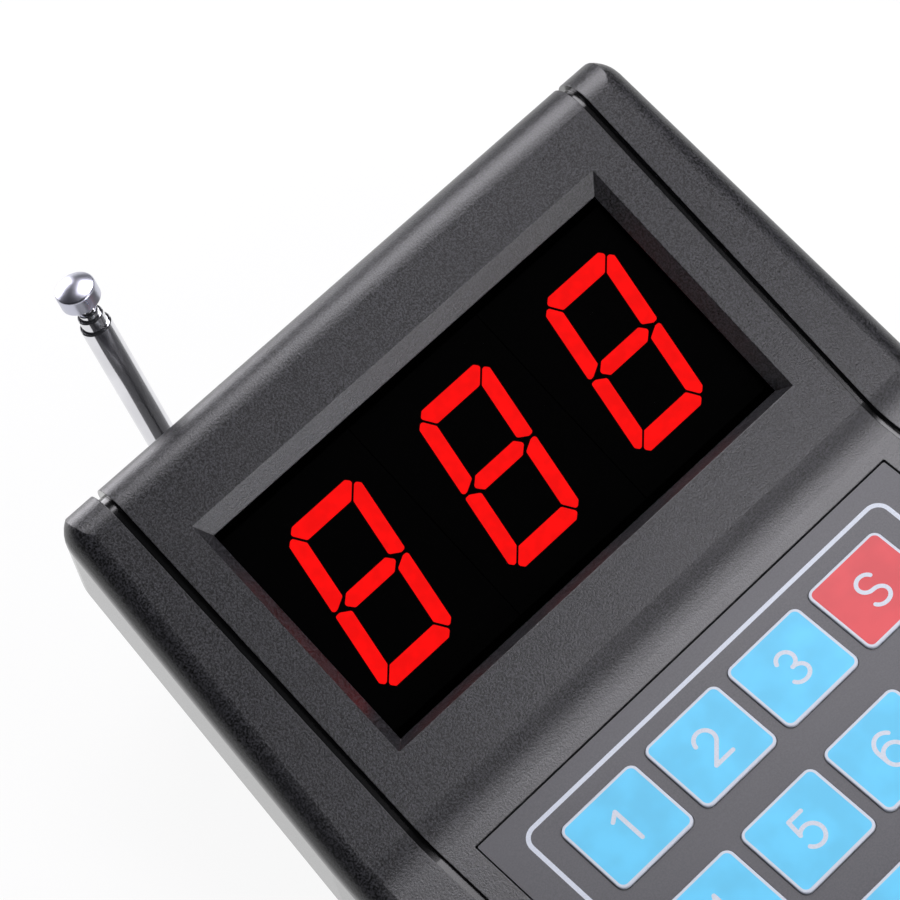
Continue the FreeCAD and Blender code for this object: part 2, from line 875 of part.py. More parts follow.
def digit_modules():
    names = ["left", "middle", "right"]
    for i in range(digits):
        across_x = (i - (digits - 1) / 2) * size("digit_pitch")
        side = names[i] if digits == len(names) else str(i + 1)
        place = at(across_x, window_middle, digit_face, display_frame)
        width = "Sizes.digit_pitch - Sizes.module_gap"
        low = place.multiply(Placement(Vector(0, 0, -size("module_depth")), Rotation()))
        body = box(f"module_body_{side}", width, module_height, cell("module_depth"), low)
        digit_place = at(across_x, window_middle - size("digit_drop"), digit_face, display_frame)
        grown = Part.makeCompound(segment_solids(size("segment_fit"), overrun))
        pockets = shaped(f"module_pockets_{side}", grown)
        pockets.Placement = digit_place
        keep(f"digit_module_{side}", cut(f"digit_module_{side}", body, pockets))
        lit = shaped(f"digit_segments_{side}", Part.makeCompound(segment_solids(0, 0)))
        lit.Placement = digit_place
        keep(f"digit_segments_{side}", lit)


def display_board():
    side = "(Sizes.display_post_from_window + Sizes.display_post_radius + Sizes.display_post_from_side)"
    height = f"{module_height} + 2 * Sizes.display_board_border"
    back = -(display_board_depth + size("board_thickness"))
    body = box(
        "display_board_blank",
        f"{window_width} + 2 * {side}",
        height,
        cell("board_thickness"),
        at(0, window_middle, back, display_frame),
    )
    holes = [
        cylinder(
            f"display_board_hole_{i}",
            "Sizes.screw_radius + Sizes.hole_gap",
            "Sizes.board_thickness + 2 * Sizes.overrun",
            at(x, y, back - overrun, display_frame),
        )
        for i, (x, y) in enumerate(display_post_places())
    ]
    keep("display_board", cut("display_board", body, fuse("display_board_holes", *holes)))


def screw(name, length, place):
    """A socket screw whose head ends at its placement and whose shank runs along +Z from there."""
    head_low = place.multiply(Placement(Vector(0, 0, -size("screw_head_height")), Rotation()))
    head = cylinder(name + "_head", cell("screw_head_radius"), cell("screw_head_height"), head_low)
    shank = cylinder(name + "_shank", cell("screw_radius"), length, place)
    socket_low = place.multiply(Placement(Vector(0, 0, -size("screw_head_height") - overrun), Rotation()))
    depth = "Sizes.screw_socket_depth + Sizes.overrun"
    socket = hexagon(name + "_socket", cell("screw_socket_radius"), depth, socket_low)
    return cut(name, fuse(name + "_blank", head, shank), socket)


def screws():
    case = [
        screw(f"case_screw_{i}", cell("screw_length"), at(x, y, screw_ledge_height))
        for i, (x, y) in enumerate(case_screw_places())
    ]
    keep("case_screws", group("case_screws", case))
    back = -(display_board_depth + size("board_thickness"))
    display = [
        screw(f"display_screw_{i}", cell("screw_length"), at(x, y, back, display_frame))
        for i, (x, y) in enumerate(display_post_places())
    ]
    keep("display_screws", group("display_screws", display))
    board = [
        screw(f"board_screw_{i}", cell("board_screw_length"), upside_down(x, y, board_top))
        for i, (x, y) in enumerate(board_post_places())
    ]
    keep("board_screws", group("board_screws", board))


def rubber_feet():
    feet = [
        cylinder(f"foot_{i}", cell("foot_radius"), "Sizes.foot_height + Sizes.foot_sunk", at(x, y, 0))
        for i, (x, y) in enumerate(foot_places())
    ]
    keep("rubber_feet", group("rubber_feet", feet))


# Keypad
KEY_NAMES = [
    ["1", "2", "3", "s"],
    ["4", "5", "6", "c"],
    ["7", "8", "9", "plus"],
    ["star", "0", "hash", "minus"],
]


def key_places():
    """Every key's name and its middle on the keypad face, as x and y."""
    places = []
    for row in range(rows):
        y = -size("keypad_rear_land") - size("overlay_end_margin") - size("key_length") / 2
        y -= row * size("row_pitch")
        for column in range(columns):
            x = (column - (columns - 1) / 2) * size("key_pitch")
            known = row < len(KEY_NAMES) and column < len(KEY_NAMES[row])
            name = KEY_NAMES[row][column] if known else f"{row + 1}_{column + 1}"
            places.append((name, x, y))
    return places


def keypad():
    circuit_low = -recess_depth
    overlay_low = circuit_low + size("circuit_thickness")
    keys_across = "(Sizes.columns - 1) * Sizes.key_pitch + Sizes.key_width"
    keys_along = "(Sizes.rows - 1) * Sizes.row_pitch + Sizes.key_length"
    width = f"{keys_across} + 2 * Sizes.overlay_side_margin"
    length = f"{keys_along} + 2 * Sizes.overlay_end_margin"
    circuit = plate(
        "membrane_circuit",
        width,
        length,
        cell("circuit_thickness"),
        at(0, overlay_centre, circuit_low, keypad_frame),
        corner=cell("overlay_radius"),
    )
    keep("membrane_circuit", circuit)
    sheet_blank = plate(
        "overlay_blank",
        width,
        length,
        cell("overlay_thickness"),
        at(0, overlay_centre, overlay_low, keypad_frame),
        corner=cell("overlay_radius"),
    )
    gap = size("key_clearance")
    windows = []
    for _, x, y in key_places():
        block = keypad_tool(
            size("key_width") + 2 * gap,
            size("key_length") + 2 * gap,
            size("key_radius") + gap,
            y,
            overlay_low - overrun,
            overrun,
            x,
        )
        windows.append(block)
    openings = shaped("overlay_windows", Part.makeCompound(windows))
    keep("keypad_overlay", cut("keypad_overlay", sheet_blank, openings))
    key_low = overlay_low + size("dome_height") + size("key_travel") + size("contact_gap")
    under_key = "(Sizes.dome_height + Sizes.key_travel + Sizes.contact_gap)"
    key_thickness = f"Sizes.overlay_thickness + Sizes.key_rise - {under_key}"
    domes = []
    for name, x, y in key_places():
        key = plate(
            f"key_{name}",
            cell("key_width"),
            cell("key_length"),
            key_thickness,
            at(x, y, key_low, keypad_frame),
            corner=cell("key_radius"),
            edge=cell("key_edge_radius"),
        )
        keep(f"key_{name}", key)
        dome = doc.addObject("Part::Cone", f"dome_{name}")
        bind(dome, Radius1=cell("dome_radius"), Radius2=cell("dome_top_radius"), Height=cell("dome_height"))
        dome.Placement = at(x, y, overlay_low, keypad_frame)
        domes.append(dome)
    keep("key_domes", group("key_domes", domes))


def strip(name, y, low, top_at):
    """An upright flat cable under a sloping board, from a height up to the board's underside."""
    thick = size("tail_thickness")
    front, rear = y - thick / 2, y + thick / 2
    corners = [(front, low), (rear, low), (rear, top_at(rear)), (front, top_at(front))]
    section = rounded_face(corners, [0] * len(corners))
    half = size("tail_width") / 2
    return keep(name, shaped(name, across(section, -half, half)))


def connector(name, y):
    """A slotted connector on the main board that holds the foot of a flat cable."""
    body = box(
        name + "_body",
        "Sizes.tail_width + 2 * Sizes.connector_border",
        cell("connector_depth"),
        cell("connector_height"),
        at(0, y, board_top),
    )
    slot = box(
        name + "_slot",
        "Sizes.tail_width + 2 * Sizes.contact_gap",
        "Sizes.tail_thickness + 2 * Sizes.contact_gap",
        cell("connector_height"),
        at(0, y, board_top + size("tail_seat")),
    )
    return keep(name, cut(name, body, slot))


def cables():
    tail_point = keypad_frame.multVec(Vector(0, tail_y, -recess_depth))
    foot = board_top + size("tail_seat")
    strip("keypad_tail", tail_point.y, foot, lambda y: keypad_z(y, recess_depth))
    connector("keypad_connector", tail_point.y)
    link_y = main_board_front_y + size("link_from_front")
    under_board = display_board_depth + size("board_thickness")
    strip("display_ribbon", link_y, foot, lambda y: display_z(y, under_board))
    connector("display_connector", link_y)


# Main board
def main_board():
    blank = doc.addObject("Part::Box", "main_board_blank")
    bind(blank, Height=cell("board_thickness"))
    blank.Length = 2 * board_half
    blank.Width = main_board_rear_y - main_board_front_y
    blank.Placement = at(-board_half, main_board_front_y, size("main_board_height"))
    holes = [
        cylinder(
            f"main_board_hole_{i}",
            "Sizes.screw_radius + Sizes.hole_gap",
            "Sizes.board_thickness + 2 * Sizes.overrun",
            at(x, y, size("main_board_height") - overrun),
        )
        for i, (x, y) in enumerate(board_post_places())
    ]
    keep("main_board", cut("main_board", blank, fuse("main_board_holes", *holes)))


def radio():
    x = antenna_across
    y = main_board_rear_y - size("radio_from_rear")
    width, length = cell("radio_width"), cell("radio_length")
    can = box("radio_can", width, length, cell("radio_height"), at(x, y, board_top))
    room = box(
        "radio_room",
        "Sizes.radio_width - 2 * Sizes.shield_wall",
        "Sizes.radio_length - 2 * Sizes.shield_wall",
        "Sizes.radio_height - Sizes.shield_wall",
        at(x, y, board_top),
    )
    keep("radio_shield", cut("radio_shield", can, room))
    side = cell("radio_chip_side")
    keep("radio_chip", box("radio_chip", side, side, cell("radio_chip_height"), at(x, y, board_top)))


def board_pieces():
    chip_y = main_board_front_y + size("chip_from_front")
    side = cell("chip_side")
    keep("processor_chip", box("processor_chip", side, side, cell("chip_height"), at(0, chip_y, board_top)))
    sound_y = main_board_rear_y - size("buzzer_from_rear")
    sound_x = board_half - size("buzzer_from_side")
    sound_place = at(sound_x, sound_y, board_top)
    can = cylinder("buzzer_can", cell("buzzer_radius"), cell("buzzer_height"), sound_place)
    hole = cylinder(
        "buzzer_hole",
        cell("buzzer_hole_radius"),
        cell("buzzer_height"),
        at(sound_x, sound_y, board_top + size("buzzer_height") / 2),
    )
    keep("buzzer", cut("buzzer", can, hole))
    store_y = main_board_rear_y - size("capacitor_from_rear")
    place = at(size("capacitor_across"), store_y, board_top)
    keep("capacitor", cylinder("capacitor", cell("capacitor_radius"), cell("capacitor_height"), place))


def dc_jack():
    x = jack_across
    inner_y = rear_wall_y - size("side_wall")
    body = box(
        "jack_body",
        "2 * (Sizes.jack_sleeve_radius + Sizes.jack_cover)",
        cell("jack_length"),
        "Sizes.jack_axis_height + Sizes.jack_sleeve_radius + Sizes.jack_cover",
        at(x, inner_y - size("jack_length") / 2, board_top),
    )
    sleeve_place = turned_back(x, inner_y, jack_axis_z)
    sleeve = cylinder("jack_sleeve", cell("jack_sleeve_radius"), cell("side_wall"), sleeve_place)
    bore_place = turned_back(x, rear_wall_y - size("jack_bore_depth"), jack_axis_z)
    bore_length = "Sizes.jack_bore_depth + Sizes.overrun"
    bore = cylinder("jack_bore", cell("jack_barrel_radius"), bore_length, bore_place)
    hollow = cut("jack_hollow", fuse("jack_blank", body, sleeve), bore)
    pin_length = "Sizes.jack_bore_depth - Sizes.overrun"
    pin = cylinder("jack_pin", cell("jack_pin_radius"), pin_length, bore_place)
    keep("dc_jack", fuse("dc_jack", hollow, pin))


# Antenna
def antenna_bush():
    x, z = antenna_across, size("pivot_height")
    outer_y = rear_wall_y + size("bush_flange_thickness")
    flange = cylinder(
        "bush_flange",
        cell("bush_flange_radius"),
        cell("bush_flange_thickness"),
        turned_back(x, rear_wall_y, z),
    )
    barrel = cylinder(
        "bush_barrel",
        cell("bush_radius"),
        cell("bush_length"),
        turned_back(x, outer_y - size("bush_length"), z),
    )
    bore = cylinder(
        "bush_bore",
        cell("bush_bore_radius"),
        "Sizes.spigot_length + Sizes.overrun",
        turned_back(x, outer_y - size("spigot_length"), z),
    )
    keep("antenna_bush", cut("antenna_bush", fuse("bush_blank", flange, barrel), bore))
    nut_y = rear_wall_y - size("side_wall") - size("nut_thickness")
    nut_place = turned_back(x, nut_y, z)
    blank = hexagon("nut_blank", "Sizes.nut_across_corners / 2", cell("nut_thickness"), nut_place)
    hole = cylinder(
        "nut_hole",
        "Sizes.bush_radius + Sizes.bush_gap",
        "Sizes.nut_thickness + 2 * Sizes.overrun",
        turned_back(x, nut_y - overrun, z),
    )
    keep("antenna_nut", cut("antenna_nut", blank, hole))


def antenna_swivel():
    """The fork that turns in the bush, and the pin across its two ears."""
    x, z = antenna_across, size("pivot_height")
    start_y = rear_wall_y + size("bush_flange_thickness") + size("swivel_gap")
    disc_place = turned_back(x, start_y, z)
    disc = cylinder("swivel_disc", cell("swivel_radius"), cell("swivel_disc_thickness"), disc_place)
    spigot = cylinder(
        "swivel_spigot",
        "Sizes.bush_bore_radius - Sizes.spigot_clearance",
        cell("spigot_length"),
        turned_back(x, start_y - size("spigot_length") + size("contact_gap"), z),
    )
    ear_from = start_y + size("swivel_disc_thickness")
    inner = size("knuckle_width") / 2 + size("knuckle_clearance")
    members = [disc, spigot]
    for side in (-1, 1):
        low_x = x + (inner if side > 0 else -inner - size("ear_thickness"))
        web = doc.addObject("Part::Box", "ear_web")
        bind(web, Length=cell("ear_thickness"), Height="2 * Sizes.knuckle_radius")
        web.Width = pivot_y - ear_from
        web.Placement = at(low_x, ear_from, z - size("knuckle_radius"))
        sideways = Placement(Vector(low_x, pivot_y, z), Rotation(Vector(0, 1, 0), 90))
        members += [web, cylinder("ear_end", cell("knuckle_radius"), cell("ear_thickness"), sideways)]
    reach = inner + size("ear_thickness")
    bore = cylinder(
        "ear_bore",
        "Sizes.pivot_pin_radius + Sizes.pin_clearance",
        "Sizes.knuckle_width + 2 * Sizes.knuckle_clearance + 2 * Sizes.ear_thickness",
        Placement(Vector(x - reach, pivot_y, z), Rotation(Vector(0, 1, 0), 90)),
    )
    keep("antenna_swivel", cut("antenna_swivel", fuse("swivel_blank", *members), bore))
    rod = cylinder(
        "pin_rod",
        cell("pivot_pin_radius"),
        "Sizes.knuckle_width + 2 * Sizes.knuckle_clearance + 2 * Sizes.ear_thickness",
        Placement(Vector(x - reach, pivot_y, z), Rotation(Vector(0, 1, 0), 90)),
    )
    heads = [
        cylinder(
            "pin_head",
            cell("pin_head_radius"),
            cell("pin_head_thickness"),
            Placement(Vector(head_x, pivot_y, z), Rotation(Vector(0, 1, 0), 90)),
        )
        for head_x in (x - reach - size("pin_head_thickness"), x + reach)
    ]
    keep("pivot_pin", fuse("pivot_pin", rod, *heads))


def tube_radii():
    """The outer radius of the base tube and of each piece that slides in the one before."""
    radii = [size("tube_radius")]
    for _ in range(int(size("telescoping_tubes")) + 1):
        radii.append(radii[-1] - size("tube_wall") - size("mouth_lip") - size("tube_clearance"))
    return radii


def tube_feet():
    step = size("tube_foot_step") + size("fit_gap")
    return [size("tube_start") + i * step for i in range(int(size("telescoping_tubes")) + 2)]


def turned(points):
    """A solid turned about Z from (radius, height) corners."""
    wire = Part.makePolygon([Vector(r, 0, z) for r, z in points + points[:1]])
    return Part.Face(wire).revolve(Vector(0, 0, 0), Vector(0, 0, 1), 360)


def tube(radius, foot, top, collared):
    """A tube closed at its foot, its mouth drawn in, with a wider collar where it slides in another."""
    bore = radius - size("tube_wall")
    mouth = bore - size("mouth_lip")
    lip = top - size("mouth_length")
    floor = foot + size("tube_foot_step")
    chamfer = size("mouth_chamfer")
    points = [(0, foot)]
    if collared:
        collar = radius + size("mouth_lip")
        collar_top = foot + size("collar_length")
        points += [(collar, foot), (collar, collar_top), (radius, collar_top)]
    else:
        points += [(radius, foot)]
    points += [(radius, top - chamfer), (radius - chamfer, top), (mouth, top), (mouth, lip), (bore, lip)]
    points += [(bore, floor), (0, floor)]
    return turned(points)


def antenna_cap():
    """The cap on the innermost tube: a chamfered foot, a straight side, a rounded edge and a domed top."""
    radius, chamfer, rounding = size("cap_radius"), size("cap_chamfer"), size("cap_edge_radius")

    def arc(across, height, bend, start, end):
        angles = (start, (start + end) / 2, end)
        points = [Vector(across + bend * math.cos(a), 0, height + bend * math.sin(a)) for a in angles]
        return Part.Arc(*points).toShape()

    square = math.pi / 2
    slope = math.atan2(cap_shoulder - cap_dome_centre, cap_edge_across)
    rounded = arc(cap_edge_across, cap_shoulder, rounding, 0, slope)
    dome = arc(0, cap_dome_centre, cap_dome_radius, slope, square)
    corners = [(0, cap_foot), (radius - chamfer, cap_foot), (radius, cap_foot + chamfer)]
    side = [Vector(r, 0, z) for r, z in corners + [(radius, cap_shoulder)]]
    axis = Part.makePolygon([Vector(0, 0, cap_top), side[0]])
    section = Part.Wire(Part.makePolygon(side).Edges + [rounded, dome] + axis.Edges)
    return Part.Face(section).revolve(Vector(0, 0, 0), Vector(0, 0, 1), 360)


def antenna_tubes():
    radii, feet = tube_radii(), tube_feet()
    half = size("knuckle_width") / 2
    knuckle = Part.makeCylinder(size("knuckle_radius"), 2 * half, Vector(-half, 0, 0), Vector(1, 0, 0))
    neck = Part.makeCylinder(size("neck_radius"), size("tube_start"))
    bore = size("pivot_pin_radius") + size("pin_clearance")
    reach = half + overrun
    hole = Part.makeCylinder(bore, 2 * reach, Vector(-reach, 0, 0), Vector(1, 0, 0))
    base = tube(radii[0], feet[0], tube_tops[0], collared=False)
    outer = base.fuse([knuckle, neck]).cut(hole).removeSplitter()
    pieces = {"antenna_base_tube": outer}
    for i in range(1, int(size("telescoping_tubes")) + 1):
        pieces[f"antenna_tube_{i + 1}"] = tube(radii[i], feet[i], tube_tops[i], collared=True)
    rod_radius, foot = radii[-1], feet[-1]
    collar = rod_radius + size("mouth_lip")
    collar_top = foot + size("collar_length")
    shank = [(rod_radius, collar_top), (rod_radius, cap_foot), (0, cap_foot)]
    rod = turned([(0, foot), (collar, foot), (collar, collar_top)] + shank)
    pieces["antenna_tip"] = rod.fuse(antenna_cap()).removeSplitter()
    for name, shape in pieces.items():
        piece = shaped(name, shape)
        piece.Placement = antenna_frame
        keep(name, piece)


def antenna_lead():
    """The coaxial lead from the radio can up and back to the bush, one arc between two runs."""
    x = antenna_across
    bush_end = rear_wall_y + size("bush_flange_thickness") - size("bush_length")
    start = Vector(x, bush_end, size("pivot_height"))
    turn = Vector(x, main_board_rear_y - size("radio_from_rear"), size("pivot_height"))
    end = Vector(x, turn.y, board_top + size("radio_height"))
    radius_share = 0.45
    radius = radius_share * min((turn - start).Length, (end - turn).Length)
    arc_start = turn + Vector(0, radius, 0)
    arc_end = turn - Vector(0, 0, radius)
    centre = turn + Vector(0, radius, -radius)
    arc_middle = centre + Vector(0, -1, 1).normalize() * radius
    path = Part.Wire(
        [
            Part.LineSegment(start, arc_start).toShape(),
            Part.Arc(arc_start, arc_middle, arc_end).toShape(),
            Part.LineSegment(arc_end, end).toShape(),
        ]
    )
    ring = Part.Wire(Part.Circle(start, Vector(0, 1, 0), size("lead_radius")).toShape())
    keep("antenna_lead", shaped("antenna_lead", path.makePipeShell([ring], True, False)))


def write_parts():
    doc.recompute()
    for thing in doc.Objects:
        if "Invalid" in thing.State or "Error" in thing.State:
            raise RuntimeError(f"{thing.Label} is {thing.State}")
    for node, thing in parts.items():
        if thing.Shape.isNull() or not thing.Shape.isValid():
            raise RuntimeError(f"{node} has no valid shape")
    os.makedirs("parts", exist_ok=True)
    for node, thing in parts.items():
        thing.Shape.exportStep(f"parts/{node}.step")


upper_case()
lower_case()
display_lens()
digit_modules()
display_board()
keypad()
cables()
main_board()
radio()
board_pieces()
dc_jack()
screws()
rubber_feet()
antenna_bush()
antenna_swivel()
antenna_tubes()
antenna_lead()
write_parts()
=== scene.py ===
"""The look of a guest pager transmitter: grained case, lit digits, printed keypad and chromed antenna."""

import json
import logging
import math
from dataclasses import dataclass, field
from enum import Enum
from typing import Iterable, Sequence

import bmesh
import bpy
from mathutils import Euler, Matrix, Vector


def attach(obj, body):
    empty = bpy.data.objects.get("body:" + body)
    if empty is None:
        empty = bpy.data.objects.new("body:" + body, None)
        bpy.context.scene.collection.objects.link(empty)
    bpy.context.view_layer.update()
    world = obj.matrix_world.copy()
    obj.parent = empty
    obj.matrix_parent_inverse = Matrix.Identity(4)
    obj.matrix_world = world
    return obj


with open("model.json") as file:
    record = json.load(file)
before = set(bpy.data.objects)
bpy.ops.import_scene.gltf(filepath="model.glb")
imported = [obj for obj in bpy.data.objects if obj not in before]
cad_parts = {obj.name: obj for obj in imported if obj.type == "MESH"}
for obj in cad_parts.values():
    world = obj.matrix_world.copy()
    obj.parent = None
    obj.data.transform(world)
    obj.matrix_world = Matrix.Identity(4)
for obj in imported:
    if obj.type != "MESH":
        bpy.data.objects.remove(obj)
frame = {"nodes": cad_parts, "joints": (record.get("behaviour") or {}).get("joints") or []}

log = logging.getLogger("pager")

MM = 0.001
FULL_LEVEL = 255
# The standard display curve: a straight foot, then a power
FOOT_LEVEL, FOOT_SLOPE, CURVE_OFFSET, CURVE_POWER = 0.04045, 12.92, 0.055, 2.4
# The noise's middle, and the part of its range that most finishes use
NOISE_MEAN = 0.5
NOISE_SPAN = (0.3, 0.7)
EDGE_SAMPLES = 6
LOOP_STEPS = 56
Point = tuple[float, float]


# Colours
@dataclass(frozen=True)
class Colour:
    """A display colour given as red, green and blue from 0 to 255."""

    red: float
    green: float
    blue: float

    @property
    def linear(self) -> tuple[float, float, float, float]:
        """The colour for a shader.

        Returns:
            Its scene-linear red, green and blue, and an alpha of one.
        """

        def straight(level: float) -> float:
            """One display level as a scene-linear value."""
            share = level / FULL_LEVEL
            curved = ((share + CURVE_OFFSET) / (1 + CURVE_OFFSET)) ** CURVE_POWER
            return share / FOOT_SLOPE if share <= FOOT_LEVEL else curved

        return straight(self.red), straight(self.green), straight(self.blue), 1.0

    def scaled(self, factor: float) -> "Colour":
        """The same hue, lighter or darker."""
        return Colour(*(min(FULL_LEVEL, level * factor) for level in (self.red, self.green, self.blue)))


# Shader building
@dataclass(frozen=True)
class Term:
    """A node's output that takes part in shader sums."""

    shader: "Shader"
    socket: bpy.types.NodeSocket

    def _math(self, operation: str, *values: "Term | float") -> "Term":
        """A Math node on some values.

        Args:
            operation: the node's operation.
            values: its inputs in order.

        Returns:
            The node's result.
        """
        return self.shader.add("ShaderNodeMath", {"operation": operation}, dict(enumerate(values)))

    def __add__(self, other: "Term | float") -> "Term":
        """This value plus another."""
        return self._math("ADD", self, other)

    def __sub__(self, other: "Term | float") -> "Term":
        """This value less another."""
        return self._math("SUBTRACT", self, other)

    def __rsub__(self, other: float) -> "Term":
        """A number less this value."""
        return self._math("SUBTRACT", other, self)

    def __mul__(self, other: "Term | float") -> "Term":
        """This value times another."""
        return self._math("MULTIPLY", self, other)

    __radd__ = __add__
    __rmul__ = __mul__

    def __abs__(self) -> "Term":
        """This value without its sign."""
        return self._math("ABSOLUTE", self)

    def larger(self, other: "Term | float") -> "Term":
        """The larger of this value and another."""
        return self._math("MAXIMUM", self, other)

    def smaller(self, other: "Term | float") -> "Term":
        """The smaller of this value and another."""
        return self._math("MINIMUM", self, other)

    def root(self) -> "Term":
        """The square root of this value."""
        return self._math("SQRT", self)

    def wrapped(self, span: float) -> "Term":
        """This value brought into one span about zero, again and again."""
        return self._math("WRAP", self, span / 2, -span / 2)

    def ramp(self, low: float, high: float, first: float = 0.0, last: float = 1.0) -> "Term":
        """A smooth step over this value.

        Args:
            low: where the step starts.
            high: where it ends.
            first: the result at the start.
            last: the result at the end.

        Returns:
            The stepped value.
        """
        values = {"Value": self, "From Min": low, "From Max": high, "To Min": first, "To Max": last}
        return self.shader.add("ShaderNodeMapRange", {"interpolation_type": "SMOOTHSTEP"}, values)


class Shader:
    """A node tree under construction, for a material or for the world."""

    def __init__(self, owner: bpy.types.Material | bpy.types.World) -> None:
        """Start with an empty tree.

        Args:
            owner: the material or world that the tree belongs to.
        """
        self.owner = owner
        owner.use_nodes = True
        self.tree = owner.node_tree
        self.tree.nodes.clear()

    @classmethod
    def material(cls, name: str) -> "Shader":
        """A shader for a new material of that name."""
        return cls(bpy.data.materials.new(name))

    def add(
        self, kind: str, settings: dict | None = None, inputs: dict | None = None, output: int | str = 0
    ) -> Term:
        """Add one node.

        Args:
            kind: the node's type.
            settings: its own properties, set first; stops are a ramp's places and colours.
            inputs: numbers, colours or terms by socket name or number.
            output: the output that is handed back.

        Returns:
            The chosen output.
        """
        node = self.tree.nodes.new(kind)
        for name, value in (settings or {}).items():
            if name == "stops":
                elements = node.color_ramp.elements
                while len(elements) < len(value):
                    elements.new(0.5)
                for element, (place, colour) in zip(elements, value):
                    element.position = place
                    element.color = colour
            else:
                setattr(node, name, value)
        for name, value in (inputs or {}).items():
            if isinstance(value, Term):
                self.tree.links.new(value.socket, node.inputs[name])
            else:
                node.inputs[name].default_value = value
        return Term(self, node.outputs[output]) if node.outputs else Term(self, None)

    def place(self) -> tuple[Term, Term, Term]:
        """The surface point in the object's own axes, as x, y and z."""
        point = self.add("ShaderNodeTexCoord", output="Object")
        return tuple(self.add("ShaderNodeSeparateXYZ", None, {0: point}, axis) for axis in range(3))

    def sideways(self) -> Term:
        """How far the surface faces to the left or right, from zero to one."""
        facing = self.add("ShaderNodeTexCoord", output="Normal")
        return abs(self.add("ShaderNodeSeparateXYZ", None, {0: facing}, 0))

    def noise(
        self, scale: float, detail: float = 2.0, roughness: float = 0.5, stretch: Sequence[float] = (1, 1, 1)
    ) -> Term:
        """Even noise about one half.

        Args:
            scale: cells to the metre.
            detail: octaves of finer noise.
            roughness: how strong the finer noise is.
            stretch: factors on the three axes before the noise is read.

        Returns:
            The noise value.
        """
        point = self.add("ShaderNodeTexCoord", output="Object")
        moved = self.add("ShaderNodeMapping", None, {"Vector": point, "Scale": tuple(stretch)})
        values = {"Vector": moved, "Scale": scale, "Detail": detail, "Roughness": roughness}
        return self.add("ShaderNodeTexNoise", None, values)

    def blend(self, share: Term | float, first: "Term | tuple", second: "Term | tuple") -> Term:
        """A mix of two colours.

        Args:
            share: how much of the second one there is.
            first: the colour at zero.
            second: the colour at one.

        Returns:
            The mixed colour.
        """
        return self.add("ShaderNodeMix", {"data_type": "RGBA"}, {0: share, 6: first, 7: second}, 2)

    def pick(self, share: Term, first: Term | float, second: Term | float) -> Term:
        """A number between two others, by a share."""
        return self.add("ShaderNodeMix", {"data_type": "FLOAT"}, {0: share, 2: first, 3: second})

    def pick_normal(self, share: Term, first: Term, second: Term) -> Term:
        """A normal between two others, by a share."""
        return self.add("ShaderNodeMix", {"data_type": "VECTOR"}, {0: share, 4: first, 5: second}, 1)

    def bump(self, height: Term, strength: float, depth: float, under: Term | None = None) -> Term:
        """A bumped normal.

        Args:
            height: the height from zero to one.
            strength: how much of the bump shows.
            depth: the height's full size in metres.
            under: a normal to start from.

        Returns:
            The normal.
        """
        values = {"Strength": strength, "Distance": depth, "Height": height}
        if under is not None:
            values["Normal"] = under
        return self.add("ShaderNodeBump", None, values)

    def soft_edges(self, radius: float) -> Term:
        """A normal that rounds sharp edges to a radius in metres."""
        return self.add("ShaderNodeBevel", {"samples": EDGE_SAMPLES}, {"Radius": radius})

    def finish(self, **values: "Term | float | tuple") -> bpy.types.Material:
        """Close a surface shader.

        Args:
            values: the surface shader's inputs, with underscores for spaces.

        Returns:
            The finished material.
        """
        named = {name.replace("_", " "): value for name, value in values.items()}
        surface = self.add("ShaderNodeBsdfPrincipled", None, named)
        self.add("ShaderNodeOutputMaterial", None, {"Surface": surface})
        return self.owner


